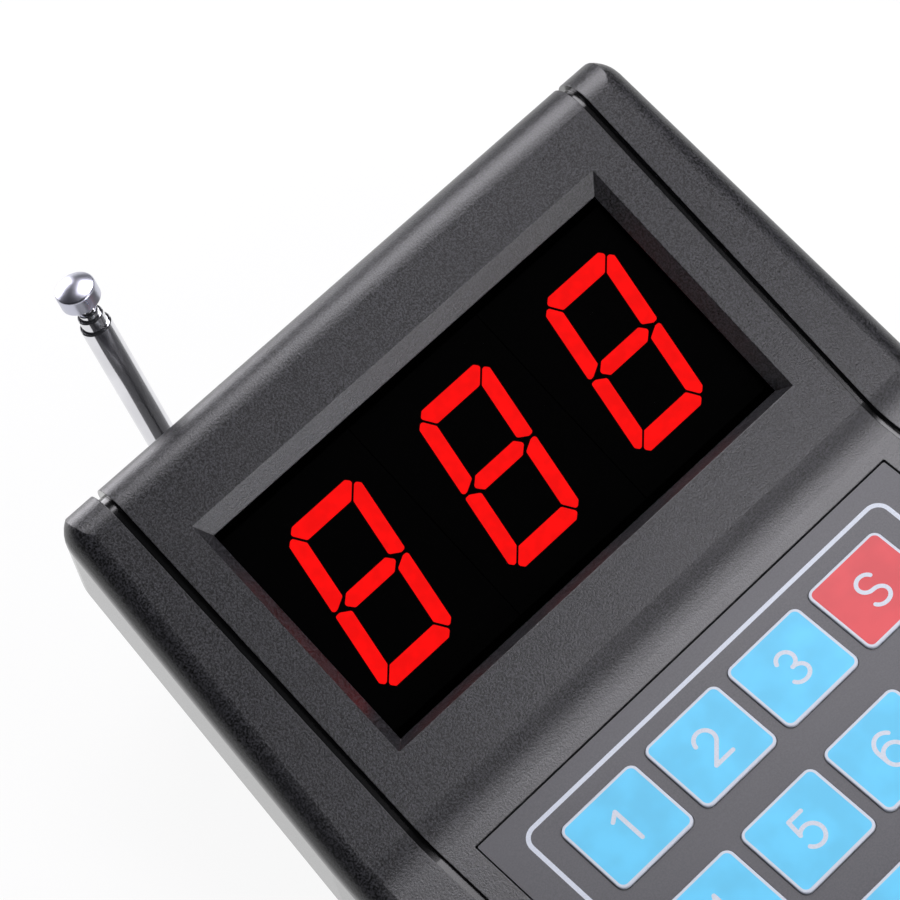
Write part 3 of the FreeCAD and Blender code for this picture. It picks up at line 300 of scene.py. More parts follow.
# Finishes
@dataclass(frozen=True)
class GrainedPlastic:
    """Dark moulded plastic: a fine spark-eroded grain, smoother upright sides, and smooth side grooves painted
    near-black as their shade.
    """

    name: str
    colour: Colour
    grain: float = 2900.0
    grain_depth: float = 0.06 * MM
    grain_gloss: float = 0.3
    grain_shade: tuple[float, float] = (0.4, 0.62)
    cloud: float = 90.0
    cloud_gloss: float = 0.06
    cloud_shade: tuple[float, float] = (0.3, 0.75)
    cloud_light: float = 1.06
    cloud_share: float = 0.25
    bump: float = 1.0
    roughness: float = 0.34
    speckle: float = 1.7
    speckle_dark: float = 0.45
    speckle_light: float = 0.5
    shine: float = 0.75
    edge_radius: float = 0.25 * MM
    groove_half: float = 0.0
    groove_width: float = 0.0
    groove_edge: tuple[float, float] = (0.005 * MM, 0.02 * MM)
    # painted shade: the colour the recessed grooves are painted, much darker than the plastic
    groove_painted_shade: Colour = Colour(5, 5, 6)
    groove_roughness: float = 0.2
    wall_start: float = 0.86
    wall_full: float = 0.985
    wall_roughness: float = 0.14
    wall_gloss: float = 0.55
    coat_roughness: float = 0.12

    def build(self) -> bpy.types.Material:
        """Make the finish.

        Returns:
            The finished material.
        """
        shader = Shader.material(self.name)
        fine = shader.noise(self.grain, detail=3.0, roughness=0.65)
        broad = shader.noise(self.cloud)
        dark = self.colour.scaled(1 - self.speckle * self.speckle_dark).linear
        light = self.colour.scaled(1 + self.speckle * self.speckle_light).linear
        colour = shader.blend(fine.ramp(*self.grain_shade), dark, light)
        worn = shader.blend(broad.ramp(*self.cloud_shade), colour, self.colour.scaled(self.cloud_light).linear)
        colour = shader.blend(self.cloud_share, colour, worn)
        rough = self.roughness + (fine - NOISE_MEAN) * self.grain_gloss
        rough = rough + (broad - NOISE_MEAN) * self.cloud_gloss
        normal = shader.bump(fine, self.bump, self.grain_depth, shader.soft_edges(self.edge_radius))
        wall = shader.sideways().ramp(self.wall_start, self.wall_full)
        rough = shader.pick(wall, rough, self.wall_roughness)
        normal = shader.pick_normal(wall, normal, shader.soft_edges(self.edge_radius))
        if self.groove_half:
            groove = self._groove(shader)
            # painted shade: the grooves' recess is painted near-black
            colour = shader.blend(groove, colour, self.groove_painted_shade.linear)
            rough = shader.pick(groove, rough, self.groove_roughness)
            normal = shader.pick_normal(groove, normal, shader.soft_edges(self.edge_radius))
        return shader.finish(
            Base_Color=colour,
            Roughness=rough,
            Normal=normal,
            Specular_IOR_Level=self.shine,
            Coat_Weight=wall * self.wall_gloss,
            Coat_Roughness=self.coat_roughness,
        )

    def _groove(self, shader: Shader) -> Term:
        """Find the grooves along the two sides.

        Args:
            shader: the finish's shader.

        Returns:
            One inside a groove, otherwise zero.
        """
        x, _, _ = shader.place()
        away = abs(abs(x) - self.groove_half)
        start, stop = (self.groove_width / 2 + past for past in self.groove_edge)
        return away.ramp(start, stop, 1.0, 0.0)


@dataclass(frozen=True)
class PrintedFilm:
    """Matt printed plastic film with a fine texture."""

    name: str
    colour: Colour
    roughness: float = 0.5
    speckle: float = 0.1
    grain: float = 3400.0
    grain_depth: float = 0.02 * MM
    grain_gloss: float = 0.2
    bump: float = 0.25
    cloud: float = 60.0
    cloud_share: float = 0.35

    def build(self) -> bpy.types.Material:
        """Make the finish.

        Returns:
            The finished material.
        """
        shader = Shader.material(self.name)
        fine = shader.noise(self.grain, roughness=0.6)
        cloud = shader.noise(self.cloud, detail=3.0)
        dark, light = self.colour.scaled(1 - self.speckle).linear, self.colour.scaled(1 + self.speckle).linear
        colour = shader.blend(fine.ramp(*NOISE_SPAN), dark, light)
        colour = shader.blend(cloud.ramp(*NOISE_SPAN, 0.0, self.cloud_share), colour, light)
        normal = shader.bump(fine, self.bump, self.grain_depth)
        rough = self.roughness + (fine - NOISE_MEAN) * self.grain_gloss
        return shader.finish(Base_Color=colour, Roughness=rough, Normal=normal)


@dataclass(frozen=True)
class KeyFilm:
    """A glossy printed key: a coloured field inside a pale outline."""

    name: str
    colour: Colour
    outline: Colour
    half_width: float
    half_length: float
    corner: float
    line: float
    column_pitch: float
    column_start: float
    row_pitch: float
    row_start: float
    slope: float
    rim_blur: float = 0.04 * MM
    grain: float = 2600.0
    grain_depth: float = 0.02 * MM
    grain_gloss: float = 0.15
    bump: float = 0.12
    cloud: float = 140.0
    cloud_shade: float = 0.03
    roughness: float = 0.42
    shine: float = 0.35

    def build(self) -> bpy.types.Material:
        """Make the finish.

        Returns:
            The finished material.
        """
        shader = Shader.material(self.name)
        rim = self._reach(shader).ramp(-self.line - self.rim_blur, -self.line + self.rim_blur)
        cloud = shader.noise(self.cloud)
        fine = shader.noise(self.grain)
        dark = self.colour.scaled(1 - self.cloud_shade).linear
        light = self.colour.scaled(1 + self.cloud_shade).linear
        inside = shader.blend(cloud.ramp(*NOISE_SPAN), dark, light)
        colour = shader.blend(rim, inside, self.outline.linear)
        normal = shader.bump(fine, self.bump, self.grain_depth)
        rough = self.roughness + (fine - NOISE_MEAN) * self.grain_gloss
        return shader.finish(Base_Color=colour, Roughness=rough, Normal=normal, Specular_IOR_Level=self.shine)

    def _reach(self, shader: Shader) -> Term:
        """Measure how far a point is from the edge of its own key.

        Args:
            shader: the finish's shader.

        Returns:
            The distance past the rounded edge in metres, below zero inside it.
        """
        x, y, z = shader.place()
        along = y * math.cos(self.slope) + z * math.sin(self.slope)
        across = (x - self.column_start).wrapped(self.column_pitch)
        along = (along - self.row_start).wrapped(self.row_pitch)
        side = abs(across) - (self.half_width - self.corner)
        end = abs(along) - (self.half_length - self.corner)
        past = side.larger(0.0) * side.larger(0.0) + end.larger(0.0) * end.larger(0.0)
        return past.root() + side.larger(end).smaller(0.0) - self.corner


@dataclass(frozen=True)
class LitSegment:
    """The red light of a digit's segment."""

    name: str
    colour: Colour
    strength: float = 1.28
    unlit: Colour = Colour(70, 4, 4)
    cloud: float = 420.0
    cloud_dark: float = 0.94
    roughness: float = 0.6
    shine: float = 0.1

    def build(self) -> bpy.types.Material:
        """Make the finish.

        Returns:
            The finished material.
        """
        shader = Shader.material(self.name)
        cloud = shader.noise(self.cloud, detail=1.0)
        dark = self.colour.scaled(self.cloud_dark).linear
        glow = shader.blend(cloud.ramp(*NOISE_SPAN), dark, self.colour.linear)
        return shader.finish(
            Base_Color=self.unlit.linear,
            Roughness=self.roughness,
            Emission_Color=glow,
            Emission_Strength=self.strength,
            Specular_IOR_Level=self.shine,
        )


@dataclass(frozen=True)
class SmokedWindow:
    """A thin dark glossy window that shows what is lit behind it."""

    name: str
    tint: Colour
    cover: float
    roughness: float = 0.08
    cloud: float = 30.0
    cloud_gloss: float = 0.04
    shine: float = 0.025

    def build(self) -> bpy.types.Material:
        """Make the finish.

        Returns:
            The finished material.
        """
        shader = Shader.material(self.name)
        cloud = shader.noise(self.cloud, detail=1.0)
        return shader.finish(
            Base_Color=self.tint.linear,
            Roughness=self.roughness + cloud * self.cloud_gloss,
            Alpha=self.cover,
            Specular_IOR_Level=self.shine,
        )


@dataclass(frozen=True)
class Chrome:
    """Bright plated metal with faint marks along its length."""

    name: str
    colour: Colour
    roughness: float = 0.1
    drawn: float = 900.0
    drawn_stretch: tuple[float, float, float] = (1, 1, 0.05)
    drawn_depth: float = 0.01 * MM
    drawn_gloss: float = 0.05
    bump: float = 0.04
    cloud: float = 120.0
    cloud_dark: float = 0.95

    def build(self) -> bpy.types.Material:
        """Make the finish.

        Returns:
            The finished material.
        """
        shader = Shader.material(self.name)
        drawn = shader.noise(self.drawn, stretch=self.drawn_stretch)
        cloud = shader.noise(self.cloud)
        dark = self.colour.scaled(self.cloud_dark).linear
        colour = shader.blend(cloud.ramp(*NOISE_SPAN), dark, self.colour.linear)
        rough = self.roughness + drawn * self.drawn_gloss
        normal = shader.bump(drawn, self.bump, self.drawn_depth)
        return shader.finish(Base_Color=colour, Metallic=1.0, Roughness=rough, Normal=normal)


@dataclass(frozen=True)
class Moulded:
    """A plain moulded, coated or rolled surface with slight unevenness."""

    name: str
    colour: Colour
    roughness: float
    metallic: float = 0.0
    grain: float = 1500.0
    grain_depth: float = 0.03 * MM
    grain_gloss: float = 0.2
    grain_dark: float = 0.88
    grain_light: float = 1.1
    bump: float = 0.15
    shine: float = 0.5
    cloud: float = 150.0
    cloud_shade: tuple[float, float] = (0.35, 0.7)
    cloud_dark: float = 0.92
    cloud_share: float = 0.4

    def build(self) -> bpy.types.Material:
        """Make the finish.

        Returns:
            The finished material.
        """
        shader = Shader.material(self.name)
        fine = shader.noise(self.grain, detail=3.0)
        cloud = shader.noise(self.cloud)
        dark, light = self.colour.scaled(self.grain_dark).linear, self.colour.scaled(self.grain_light).linear
        colour = shader.blend(fine.ramp(*NOISE_SPAN), dark, light)
        patches = cloud.ramp(*self.cloud_shade, 0.0, self.cloud_share)
        colour = shader.blend(patches, colour, self.colour.scaled(self.cloud_dark).linear)
        normal = shader.bump(fine, self.bump, self.grain_depth)
        return shader.finish(
            Base_Color=colour,
            Metallic=self.metallic,
            Roughness=self.roughness + (fine - NOISE_MEAN) * self.grain_gloss,
            Normal=normal,
            Specular_IOR_Level=self.shine,
        )


@dataclass(frozen=True)
class CircuitBoard:
    """Green coated board with lighter copper runs under the coat."""

    name: str
    colour: Colour
    copper: Colour
    column_pitch: float = 1.9 * MM
    column_line: tuple[float, float] = (0.25 * MM, 0.32 * MM)
    column_bend: float = 4 * MM
    row_pitch: float = 4.6 * MM
    row_line: tuple[float, float] = (0.22 * MM, 0.3 * MM)
    row_bend: float = 6 * MM
    bends: float = 70.0
    areas: float = 55.0
    areas_edge: tuple[float, float] = (0.48, 0.5)
    cover: float = 0.7
    bump: float = 0.3
    copper_depth: float = 0.04 * MM
    roughness: float = 0.3

    def build(self) -> bpy.types.Material:
        """Make the finish.

        Returns:
            The finished material.
        """
        shader = Shader.material(self.name)
        x, y, _ = shader.place()
        bend = shader.noise(self.bends, detail=1.0)
        across = (x + bend * self.column_bend).wrapped(self.column_pitch)
        along = (y + bend * self.row_bend).wrapped(self.row_pitch)
        runs = abs(across).ramp(*self.column_line, 1.0, 0.0)
        cross = abs(along).ramp(*self.row_line, 1.0, 0.0)
        patch = shader.noise(self.areas, detail=0.0).ramp(*self.areas_edge)
        traces = runs * patch + cross * (1 - patch)
        colour = shader.blend(traces * self.cover, self.colour.linear, self.copper.linear)
        normal = shader.bump(traces, self.bump, self.copper_depth)
        return shader.finish(Base_Color=colour, Roughness=self.roughness, Normal=normal)


@dataclass(frozen=True)
class FlatCable:
    """Pale ribbon with the wires showing as ridges, and painted shade in the valleys between them."""

    name: str
    colour: Colour
    pitch: float = 1.0 * MM
    ridge_shares: tuple[float, float] = (0.1, 0.45)
    ridge_depth: float = 0.1 * MM
    valley_painted_shade: float = 0.72
    bump: float = 0.5
    roughness: float = 0.4

    def build(self) -> bpy.types.Material:
        """Make the finish.

        Returns:
            The finished material.
        """
        shader = Shader.material(self.name)
        x, _, _ = shader.place()
        start, stop = (share * self.pitch for share in self.ridge_shares)
        ridge = abs(x.wrapped(self.pitch)).ramp(start, stop, 1.0, 0.0)
        # painted shade: the valleys between the wire ridges are darkened
        colour = shader.blend(ridge, self.colour.scaled(self.valley_painted_shade).linear, self.colour.linear)
        normal = shader.bump(ridge, self.bump, self.ridge_depth)
        return shader.finish(Base_Color=colour, Roughness=self.roughness, Normal=normal)


# Flat printed forms
def arc(centre: Point, radii: Point, start: float, end: float, steps: int = 28) -> list[Point]:
    """Points along part of an ellipse.

    Args:
        centre: its middle.
        radii: its half width and half height.
        start: the first angle in degrees, from the right and anticlockwise.
        end: the last angle in degrees.
        steps: how many pieces the run has.

    Returns:
        The points in order.
    """
    angles = [math.radians(start + (end - start) * i / steps) for i in range(steps + 1)]
    return [(centre[0] + radii[0] * math.cos(a), centre[1] + radii[1] * math.sin(a)) for a in angles]


@dataclass(frozen=True)
class Stroke:
    """One smooth printed line, open with round ends or closed in a loop."""

    points: tuple[Point, ...]
    closed: bool = False

    @classmethod
    def line(cls, *points: Point) -> "Stroke":
        """An open stroke through points."""
        return cls(tuple(points))

    @classmethod
    def loop(cls, centre: Point, radii: Point) -> "Stroke":
        """A closed ellipse."""
        return cls(tuple(arc(centre, radii, 0, 360, LOOP_STEPS)[:-1]), True)

    def sides(self, width: float) -> tuple[list[Point], list[Point]]:
        """The two edges of the stroke.

        Args:
            width: the stroke's full width.

        Returns:
            The points to the left and those to the right of its run.
        """
        count = len(self.points)
        left, right = [], []
        for i, (x, y) in enumerate(self.points):
            before = self.points[(i - 1) % count] if self.closed or i else (x, y)
            after = self.points[(i + 1) % count] if self.closed or i < count - 1 else (x, y)
            run = Vector((after[0] - before[0], after[1] - before[1])).normalized()
            reach = width / 2
            left.append((x - run.y * reach, y + run.x * reach))
            right.append((x + run.y * reach, y - run.x * reach))
        return left, right

    def caps(self, width: float, steps: int = 10) -> list[list[Point]]:
        """The round ends of an open stroke, each as a closed outline.

        Args:
            width: the stroke's full width.
            steps: how many pieces each half circle has.

        Returns:
            An outline for each end.
        """
        if self.closed:
            return []
        outlines = []
        radii = (width / 2, width / 2)
        for (x, y), (from_x, from_y) in (self.points[:2], self.points[:-3:-1]):
            heading = math.degrees(math.atan2(y - from_y, x - from_x))
            outlines.append(arc((x, y), radii, heading - 90, heading + 90, steps))
        return outlines


def legs(*corners: Point) -> list[Stroke]:
    """Straight strokes from corner to corner."""
    return [Stroke.line(a, b) for a, b in zip(corners, corners[1:])]


@dataclass(frozen=True)
class SlopedFace:
    """A flat sloping face of the case with its own axes: right, up the slope, and out of it."""

    origin: Vector
    slope: float

    @property
    def matrix(self) -> Matrix:
        """The face's axes and origin as a matrix."""
        turn = Matrix.Rotation(self.slope, 4, "X")
        return Matrix.Translation(self.origin) @ turn

    def span(self, node: str) -> tuple[Vector, Vector]:
        """A node's lowest and highest corner along the face's axes.

        Args:
            node: the CAD node's name.

        Returns:
            The two corners.
        """
        back = self.matrix.inverted()
        points = [back @ vertex.co for vertex in frame["nodes"][node].data.vertices]
        low = Vector(tuple(min(p[axis] for p in points) for axis in range(3)))
        high = Vector(tuple(max(p[axis] for p in points) for axis in range(3)))
        return low, high


@dataclass
class Print:
    """Ink on a sloping face: strokes with a small height, made into one piece.

    Each stroke is a hair higher than the one before, so that no two tops lie in one plane.
    """

    name: str
    face: SlopedFace
    strokes: list[Stroke]
    width: float
    height: float = 0.02 * MM
    layer: float = 0.002 * MM
    weld: float = 0.0005 * MM

    def build(self, centre: Vector) -> bpy.types.Object:
        """Make the piece.

        Args:
            centre: where the strokes' own origin lies, in the face's axes.

        Returns:
            The new object, in its place on the face.
        """
        mesh = bmesh.new()
        for number, stroke in enumerate(self.strokes):
            low = centre.z
            high = centre.z + self.height + number * self.layer
            left, right = stroke.sides(self.width)
            count = len(left)
            for i in range(count if stroke.closed else count - 1):
                j = (i + 1) % count
                self._tile(mesh, [left[i], right[i], right[j], left[j]], centre, high)
            for outline in (left, right[::-1]):
                self._edge(mesh, outline, centre, low, high, stroke.closed)
            for outline in stroke.caps(self.width):
                self._tile(mesh, outline, centre, high)
                self._edge(mesh, outline[::-1], centre, low, high, False)
        bmesh.ops.remove_doubles(mesh, verts=mesh.verts, dist=self.weld)
        bmesh.ops.recalc_face_normals(mesh, faces=mesh.faces)
        data = bpy.data.meshes.new(self.name)
        mesh.transform(self.face.matrix)
        mesh.to_mesh(data)
        mesh.free()
        thing = bpy.data.objects.new(self.name, data)
        bpy.context.scene.collection.objects.link(thing)
        return thing

    def _tile(self, mesh: bmesh.types.BMesh, outline: Sequence[Point], centre: Vector, high: float) -> None:
        """Add one flat face on top of the ink.

        Args:
            mesh: the mesh that grows.
            outline: the face's corners in order.
            centre: the strokes' own origin.
            high: the height of the ink's top.
        """
        mesh.faces.new([mesh.verts.new((centre.x + x, centre.y + y, high)) for x, y in outline])

    def _edge(
        self,
        mesh: bmesh.types.BMesh,
        outline: Sequence[Point],
        centre: Vector,
        low: float,
        high: float,
        closed: bool,
    ) -> None:
        """Add the upright faces along one edge of the ink.

        Args:
            mesh: the mesh that grows.
            outline: the edge's points in order.
            centre: the strokes' own origin.
            low: the height of the ink's foot.
            high: the height of its top.
            closed: whether the last point joins the first.
        """
        count = len(outline)
        for i in range(count if closed else count - 1):
            (ax, ay), (bx, by) = outline[i], outline[(i + 1) % count]
            corners = [(ax, ay, low), (bx, by, low), (bx, by, high), (ax, ay, high)]
            mesh.faces.new([mesh.verts.new((centre.x + x, centre.y + y, z)) for x, y, z in corners])


# Key legends, drawn about a baseline at zero with a cap height of 6.3
class Legend(Enum):
    """The legends of the keys, by the end of each key's node name."""

    ONE = "1"
    TWO = "2"
    THREE = "3"
    FOUR = "4"
    FIVE = "5"
    SIX = "6"
    SEVEN = "7"
    EIGHT = "8"
    NINE = "9"
    ZERO = "0"
    LETTER_S = "s"
    LETTER_C = "c"
    PLUS = "plus"
    MINUS = "minus"
    STAR = "star"
    HASH = "hash"


CAP_HEIGHT = 6.3


def legend_strokes(legend: Legend) -> list[Stroke]:
    """The strokes of one legend.

    Args:
        legend: which one.

    Returns:
        Its strokes in millimetres, the baseline at zero.
    """
    top, middle = CAP_HEIGHT, CAP_HEIGHT / 2
    six_tail = [(-1.95, 2.1), (-1.95, 3.0)] + arc((0.15, 3.9), (2.1, 2.4), 172, 38)
    shapes = {
        Legend.ONE: legs((0.35, 0), (0.35, top)) + legs((0.35, top), (-1.15, 5.2)),
        Legend.TWO: [Stroke(tuple(arc((0, 4.4), (1.85, 1.9), 172, -38) + [(-1.85, 0.0)]))]
        + legs((-1.85, 0), (1.95, 0)),
        Legend.THREE: [
            Stroke(tuple(arc((0, 4.7), (1.6, 1.6), 160, -90))),
            Stroke(tuple(arc((0, 1.58), (1.85, 1.55), 90, -160))),
        ],
        Legend.FOUR: legs((0.95, 0), (0.95, top), (-2.05, 1.6), (2.05, 1.6)),
        Legend.FIVE: legs((1.6, top), (-1.2, top), (-1.5, 3.35))
        + [Stroke(tuple(arc((-0.05, 2.05), (2.0, 2.05), 136, -150)))],
        Legend.SIX: [Stroke.loop((0, 2.05), (1.95, 2.05)), Stroke(tuple(six_tail))],
        Legend.SEVEN: legs((-1.9, top), (1.9, top), (-0.7, 0)),
        Legend.EIGHT: [Stroke.loop((0, 4.72), (1.55, 1.58)), Stroke.loop((0, 1.6), (1.9, 1.6))],
        Legend.NINE: [
            Stroke.loop((0, top - 2.05), (1.95, 2.05)),
            Stroke(tuple((-x, top - y) for x, y in six_tail)),
        ],
        Legend.ZERO: [Stroke.loop((0, middle), (2.0, middle))],
        Legend.LETTER_S: [
            Stroke(tuple(arc((0, 4.72), (1.75, 1.58), 22, 270) + arc((0, 1.57), (1.85, 1.57), 90, -158)[1:])),
        ],
        Legend.LETTER_C: [Stroke(tuple(arc((0.1, middle), (2.5, middle), 44, 316)))],
        Legend.PLUS: legs((-2.1, middle), (2.1, middle)) + legs((0, middle - 2.1), (0, middle + 2.1)),
        Legend.MINUS: legs((-2.1, middle), (2.1, middle)),
        Legend.STAR: [
            Stroke.line(
                (-2.0 * math.cos(a), middle - 2.0 * math.sin(a)),
                (2.0 * math.cos(a), middle + 2.0 * math.sin(a)),
            )
            for a in (math.radians(30), math.radians(90), math.radians(150))
        ],
        Legend.HASH: legs((-1.1, 0.4), (-0.5, 5.9))
        + legs((0.5, 0.4), (1.1, 5.9))
        + legs((-2.1, 2.2), (1.9, 2.2))
        + legs((-1.9, 4.1), (2.1, 4.1)),
    }
    return shapes[legend]


def in_metres(strokes: Iterable[Stroke], down: float = 0.0) -> list[Stroke]:
    """Strokes drawn in millimetres, moved down and given in metres."""
    return [Stroke(tuple((x * MM, (y - down) * MM) for x, y in s.points), s.closed) for s in strokes]


def dress(nodes: Iterable[str], material: bpy.types.Material) -> None:
    """Give CAD nodes a material.

    Args:
        nodes: their names.
        material: what they are finished in.
    """
    for name in nodes:
        thing = frame["nodes"][name]
        if not thing.material_slots:
            thing.data.materials.append(material)
        for place in thing.material_slots:
            place.material = material
    log.info("dressed %s in %s", ", ".join(nodes), material.name)


def joint_named(name: str) -> dict:
    """The record's joint of that name."""
    return next(joint for joint in frame["joints"] if joint["name"] == name)


# Sub-assemblies
@dataclass
class Case:
    """The two case halves, their screws and feet."""

    groove_half: float = 53.2 * MM
    groove_width: float = 1.5 * MM
    colour: Colour = Colour(30, 30, 32)
    base_shade: float = 0.92
    upper: GrainedPlastic = field(init=False)
    lower: GrainedPlastic = field(init=False)

    def __post_init__(self) -> None:
        """Set the finishes from the sizes."""
        self.upper = GrainedPlastic(
            "case_plastic", self.colour, groove_half=self.groove_half, groove_width=self.groove_width
        )
        shaded = self.colour.scaled(self.base_shade)
        self.lower = GrainedPlastic(
            "base_plastic", shaded, roughness=0.25, grain_gloss=0.2, bump=0.5, shine=1.0
        )

    def build(self) -> None:
        """Dress both halves and what closes them."""
        dress(["upper_case"], self.upper.build())
        dress(["lower_case"], self.lower.build())
        dress(["rubber_feet"], Moulded("foot_rubber", Colour(38, 38, 40), 0.85, grain=2200, bump=0.4).build())
        screws = Moulded("screw_steel", Colour(150, 148, 142), 0.32, metallic=1.0, grain=3000)
        dress(["case_screws", "display_screws", "board_screws"], screws.build())


@dataclass
class Display:
    """The digits behind their smoked window."""

    sides: tuple[str, ...] = ("left", "middle", "right")
    red: Colour = Colour(255, 6, 4)

    def build(self) -> None:
        """Dress the window, the modules and their lit segments."""
        dress(["display_lens"], SmokedWindow("window_smoke", Colour(1, 1, 1), 0.12).build())
        face = Moulded("digit_face_black", Colour(2, 2, 2), 0.8, grain=900, bump=0.05, shine=0.02)
        dress([f"digit_module_{side}" for side in self.sides], face.build())
        dress([f"digit_segments_{side}" for side in self.sides], LitSegment("digit_light", self.red).build())


@dataclass
class Keypad:
    """The overlay with its printed frame, and the keys with their legends."""

    outline: float = 0.55 * MM
    corner: float = 1.6 * MM
    legend_width: float = 0.75 * MM
    frame_half: float = 41.5 * MM
    frame_past_keys: float = 3.55 * MM
    frame_corner: float = 2.5 * MM
    frame_width: float = 0.8 * MM
    frame_steps: int = 12
    sunk: float = 0.005 * MM
    red_keys: tuple[str, ...] = ("s", "c", "plus", "minus")
    blue: Colour = Colour(99, 204, 244)
    red: Colour = Colour(218, 72, 77)
    white: Colour = Colour(206, 212, 222)
    face: SlopedFace = field(init=False)
    spans: dict[str, tuple[Vector, Vector]] = field(init=False)

    def __post_init__(self) -> None:
        """Find the keypad's slope and the keys' places in it."""
        axis = Vector(joint_named("key_1_press")["axis"])
        self.face = SlopedFace(Vector((0, 0, 0)), math.atan2(axis.y, -axis.z))
        names = [legend.value for legend in Legend]
        self.spans = {name: self.face.span(f"key_{name}") for name in names}

    def build(self) -> None:
        """Dress the overlay and keys and print on them."""
        dress(["keypad_overlay"], PrintedFilm("overlay_film", Colour(74, 74, 78), 0.42).build())
        dress(["membrane_circuit"], PrintedFilm("circuit_film", Colour(150, 152, 150)).build())
        dress(["key_domes"], Moulded("dome_steel", Colour(190, 188, 182), 0.25, metallic=1.0).build())
        blue_keys = [name for name in self.spans if name not in self.red_keys]
        dress([f"key_{name}" for name in blue_keys], self._key_film("key_film_blue", self.blue).build())
        dress([f"key_{name}" for name in self.red_keys], self._key_film("key_film_red", self.red).build())
        ink = PrintedFilm("white_ink", self.white, 0.5, 0.03).build()
        self._print_legends(ink)
        self._print_frame(ink)

    def _key_film(self, name: str, colour: Colour) -> KeyFilm:
        """Set up the printed film of the keys of one colour.

        Args:
            name: the material's name.
            colour: the keys' colour.

        Returns:
            The film, fitted to the keys' places.
        """
        low, high = self.spans["1"]
        middle = (low + high) / 2
        next_column = sum(corner.x for corner in self.spans["2"]) / 2
        next_row = sum(corner.y for corner in self.spans["4"]) / 2
        return KeyFilm(
            name,
            colour,
            self.white,
            (high.x - low.x) / 2,
            (high.y - low.y) / 2,
            self.corner,
            self.outline,
            next_column - middle.x,
            middle.x,
            middle.y - next_row,
            middle.y,
            self.face.slope,
        )

    def _print_legends(self, ink: bpy.types.Material) -> None:
        """Print each key's legend on it.

        Args:
            ink: the print's material.
        """
        for legend in Legend:
            low, high = self.spans[legend.value]
            centre = Vector(((low.x + high.x) / 2, (low.y + high.y) / 2, high.z - self.sunk))
            strokes = in_metres(legend_strokes(legend), CAP_HEIGHT / 2)
            piece = Print(f"legend_{legend.value}", self.face, strokes, self.legend_width).build(centre)
            piece.data.materials.append(ink)
            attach(piece, f"button_{legend.value}")
            log.info("printed %s", piece.name)

    def _print_frame(self, ink: bpy.types.Material) -> None:
        """Print the line round the keys on the overlay.

        Args:
            ink: the print's material.
        """
        rear = self.spans["1"][1].y + self.frame_past_keys
        front = self.spans["0"][0].y - self.frame_past_keys
        half = (rear - front) / 2
        radius = self.frame_corner
        points: list[Point] = []
        for side_x, side_y, start in ((1, 1, 0), (-1, 1, 90), (-1, -1, 180), (1, -1, 270)):
            corner = (side_x * (self.frame_half - radius), side_y * (half - radius))
            points += arc(corner, (radius, radius), start, start + 90, self.frame_steps)
        top = self.face.span("keypad_overlay")[1].z
        centre = Vector((0, (rear + front) / 2, top - self.sunk))
        piece = Print("printed_frame", self.face, [Stroke(tuple(points), True)], self.frame_width).build(centre)
        piece.data.materials.append(ink)
        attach(piece, "case")
        log.info("printed %s", piece.name)


@dataclass
class Antenna:
    """The telescopic mast on its swivel, and the bush in the rear wall."""

    tubes: tuple[str, ...] = (
        "antenna_base_tube",
        "antenna_tube_2",
        "antenna_tube_3",
        "antenna_tube_4",
    )

    def build(self) -> None:
        """Dress the mast and its fittings."""
        bright = Chrome("bright_chrome", Colour(226, 226, 230))
        dress(self.tubes + ("antenna_swivel", "pivot_pin"), bright.build())
        # painted reflection: the tip's satin chrome is darker and tinted lilac, standing in for the grey-lilac
        # room it reflects
        dress(["antenna_tip"], Chrome("satin_chrome_painted_reflection", Colour(200, 201, 214), 0.26).build())
        dress(["antenna_bush", "antenna_nut"], Chrome("plated_brass", Colour(200, 196, 188), 0.18).build())
        dress(["antenna_lead"], Moulded("lead_sheath", Colour(30, 30, 32), 0.5).build())


@dataclass
class Innards:
    """The boards and what stands on them, inside the closed case."""

    def build(self) -> None:
        """Dress the boards, cables and components."""
        dress(["display_board"], Moulded("board_black", Colour(6, 6, 6), 0.7, grain=800, shine=0.05).build())
        dress(["main_board"], CircuitBoard("board_green", Colour(24, 92, 48), Colour(70, 140, 84)).build())
        dress(["keypad_tail", "display_ribbon"], FlatCable("ribbon_film", Colour(216, 214, 206)).build())
        ivory = Moulded("connector_ivory", Colour(222, 216, 198), 0.45)
        dress(["keypad_connector", "display_connector"], ivory.build())
        tinned = Moulded("tinned_sheet", Colour(188, 190, 192), 0.28, metallic=1.0, grain=600)
        dress(["radio_shield"], tinned.build())
        chips = Moulded("chip_black", Colour(30, 30, 32), 0.55, grain=4000)
        dress(["radio_chip", "processor_chip"], chips.build())
        dress(["buzzer"], Moulded("buzzer_black", Colour(24, 24, 26), 0.4).build())
        dress(["capacitor"], Moulded("capacitor_sleeve", Colour(40, 52, 96), 0.35).build())
        dress(["dc_jack"], Moulded("jack_black", Colour(28, 28, 30), 0.45).build())


@dataclass(frozen=True)
class Softbox:
    """A square lamp, by its direction and distance from the object."""

    name: str
    turn: float
    rise: float
    distance: float
    width: float
    power: float


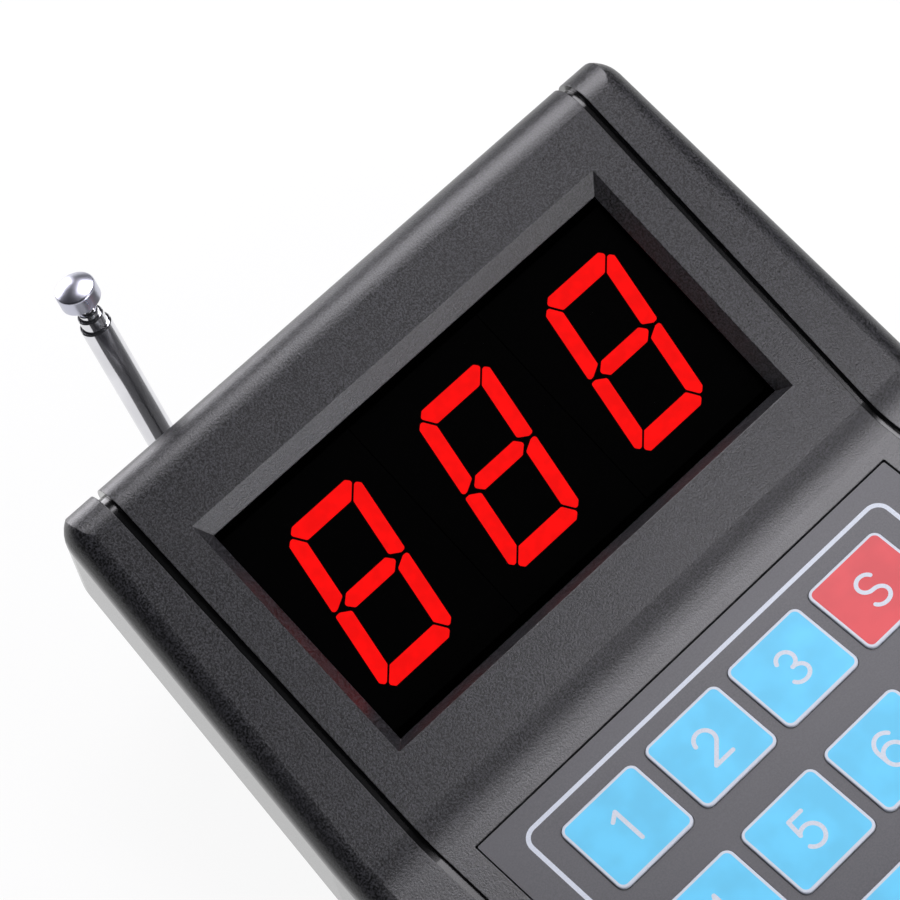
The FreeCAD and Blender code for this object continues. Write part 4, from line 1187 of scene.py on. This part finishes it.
@dataclass
class Studio:
    """A pale floor, soft lamps and the camera."""

    camera_place: tuple[float, float, float] = (-136.018, -221.181, 481.267)
    camera_turn: tuple[float, float, float] = (32.66825, 11.30579, -42.82954)
    lens: float = 128.533
    sensor: float = 36.0
    clip: tuple[float, float] = (0.01, 50.0)
    floor_half: float = 6.0
    floor_colour: Colour = Colour(244, 244, 246)
    floor_white: float = 0.92
    room: Colour = Colour(244, 246, 255)
    room_strength: float = 0.18
    room_light: float = 0.16
    backdrop_low: float = 0.0
    backdrop_high: float = 0.1
    aim: tuple[float, float, float] = (0.0, 0.0, 0.03)
    lamp_tint: tuple[float, float, float] = (0.97, 0.95, 1.0)
    softboxes: tuple[Softbox, ...] = (
        Softbox("key_softbox", 44, 55, 0.45, 0.33, 1.8),
        Softbox("rear_softbox", 96, 12, 0.7, 0.4, 3.0),
        Softbox("side_softbox", 299, 43, 0.5, 0.16, 0.72),
        Softbox("front_softbox", 278, 6, 0.55, 0.2, 0.95),
    )

    def build(self) -> None:
        """Set up everything that isn't part of the object."""
        self._floor()
        self._world()
        for softbox in self.softboxes:
            self._lamp(softbox)
        self._camera()

    def _floor(self) -> None:
        """A wide pale floor that shows white to the camera and keeps shadows."""
        mesh = bmesh.new()
        half = self.floor_half
        corners = ((-half, -half), (half, -half), (half, half), (-half, half))
        mesh.faces.new([mesh.verts.new((x, y, 0.0)) for x, y in corners])
        data = bpy.data.meshes.new("floor")
        mesh.to_mesh(data)
        mesh.free()
        floor = bpy.data.objects.new("floor", data)
        bpy.context.scene.collection.objects.link(floor)
        shader = Shader.material("floor_pale")
        seen = self._looked_at(shader)
        paint = shader.add("ShaderNodeBsdfDiffuse", None, {"Color": self.floor_colour.linear})
        white = shader.add("ShaderNodeEmission", None, {"Color": (1, 1, 1, 1), "Strength": 1.0})
        mixed = shader.add("ShaderNodeMixShader", None, {0: seen * self.floor_white, 1: paint, 2: white})
        shader.add("ShaderNodeOutputMaterial", None, {"Surface": mixed})
        data.materials.append(shader.owner)

    def _looked_at(self, shader: Shader) -> Term:
        """Tell what is looked at from what only lights the scene.

        Args:
            shader: the shader that asks.

        Returns:
            One where a ray from the camera, a mirror or a clear pane ends, otherwise zero.
        """
        rays = ("Is Camera Ray", "Is Glossy Ray", "Is Transmission Ray")
        camera, mirror, pane = (shader.add("ShaderNodeLightPath", output=ray) for ray in rays)
        return (camera + mirror + pane).smaller(1.0)

    def _world(self) -> None:
        """A dim room with a white backdrop low down, and white all over where the camera sees it."""
        world = bpy.data.worlds.new("studio_sky")
        bpy.context.scene.world = world
        shader = Shader(world)
        direction = shader.add("ShaderNodeTexCoord", output="Generated")
        height = shader.add("ShaderNodeSeparateXYZ", None, {0: direction}, 2)
        straight = shader.add("ShaderNodeLightPath", output="Is Camera Ray")
        overhead = height.ramp(self.backdrop_low, self.backdrop_high) * (1 - straight)
        backdrop = shader.blend(overhead, (1, 1, 1, 1), self.room.scaled(self.room_strength).linear)
        dim = shader.add("ShaderNodeBackground", None, {"Color": self.room.linear, "Strength": self.room_light})
        white = shader.add("ShaderNodeBackground", None, {"Color": backdrop, "Strength": 1.0})
        mixed = shader.add("ShaderNodeMixShader", None, {0: self._looked_at(shader), 1: dim, 2: white})
        shader.add("ShaderNodeOutputWorld", None, {"Surface": mixed})

    def _lamp(self, softbox: Softbox) -> None:
        """Hang one softbox.

        Args:
            softbox: where it hangs and how strong it is.
        """
        light = bpy.data.lights.new(softbox.name, "AREA")
        light.shape = "SQUARE"
        light.size = softbox.width
        light.energy = softbox.power
        light.color = self.lamp_tint
        turn, rise = math.radians(softbox.turn), math.radians(softbox.rise)
        level = math.cos(rise)
        towards = Vector((math.cos(turn) * level, math.sin(turn) * level, math.sin(rise)))
        lamp = bpy.data.objects.new(softbox.name, light)
        lamp.location = Vector(self.aim) + towards * softbox.distance
        lamp.visible_camera = False
        lamp.rotation_euler = (-towards).to_track_quat("-Z", "Y").to_euler()
        bpy.context.scene.collection.objects.link(lamp)

    def _camera(self) -> None:
        """The camera at the photograph's place."""
        data = bpy.data.cameras.new("camera")
        data.lens = self.lens
        data.sensor_width = self.sensor
        data.clip_start, data.clip_end = self.clip
        camera = bpy.data.objects.new("camera", data)
        camera.location = [coordinate * MM for coordinate in self.camera_place]
        camera.rotation_euler = Euler([math.radians(angle) for angle in self.camera_turn], "XYZ")
        bpy.context.scene.collection.objects.link(camera)
        bpy.context.scene.camera = camera


def main() -> None:
    """Build and dress the transmitter, piece by piece, and set the studio round it."""
    logging.basicConfig(level=logging.INFO, format="%(message)s")
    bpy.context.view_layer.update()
    for assembly in (Case(), Display(), Keypad(), Antenna(), Innards()):
        assembly.build()
        log.info("%s is finished", type(assembly).__name__)
    Studio().build()
    bpy.context.scene.view_settings.view_transform = "Standard"


if __name__ == "__main__":
    main()
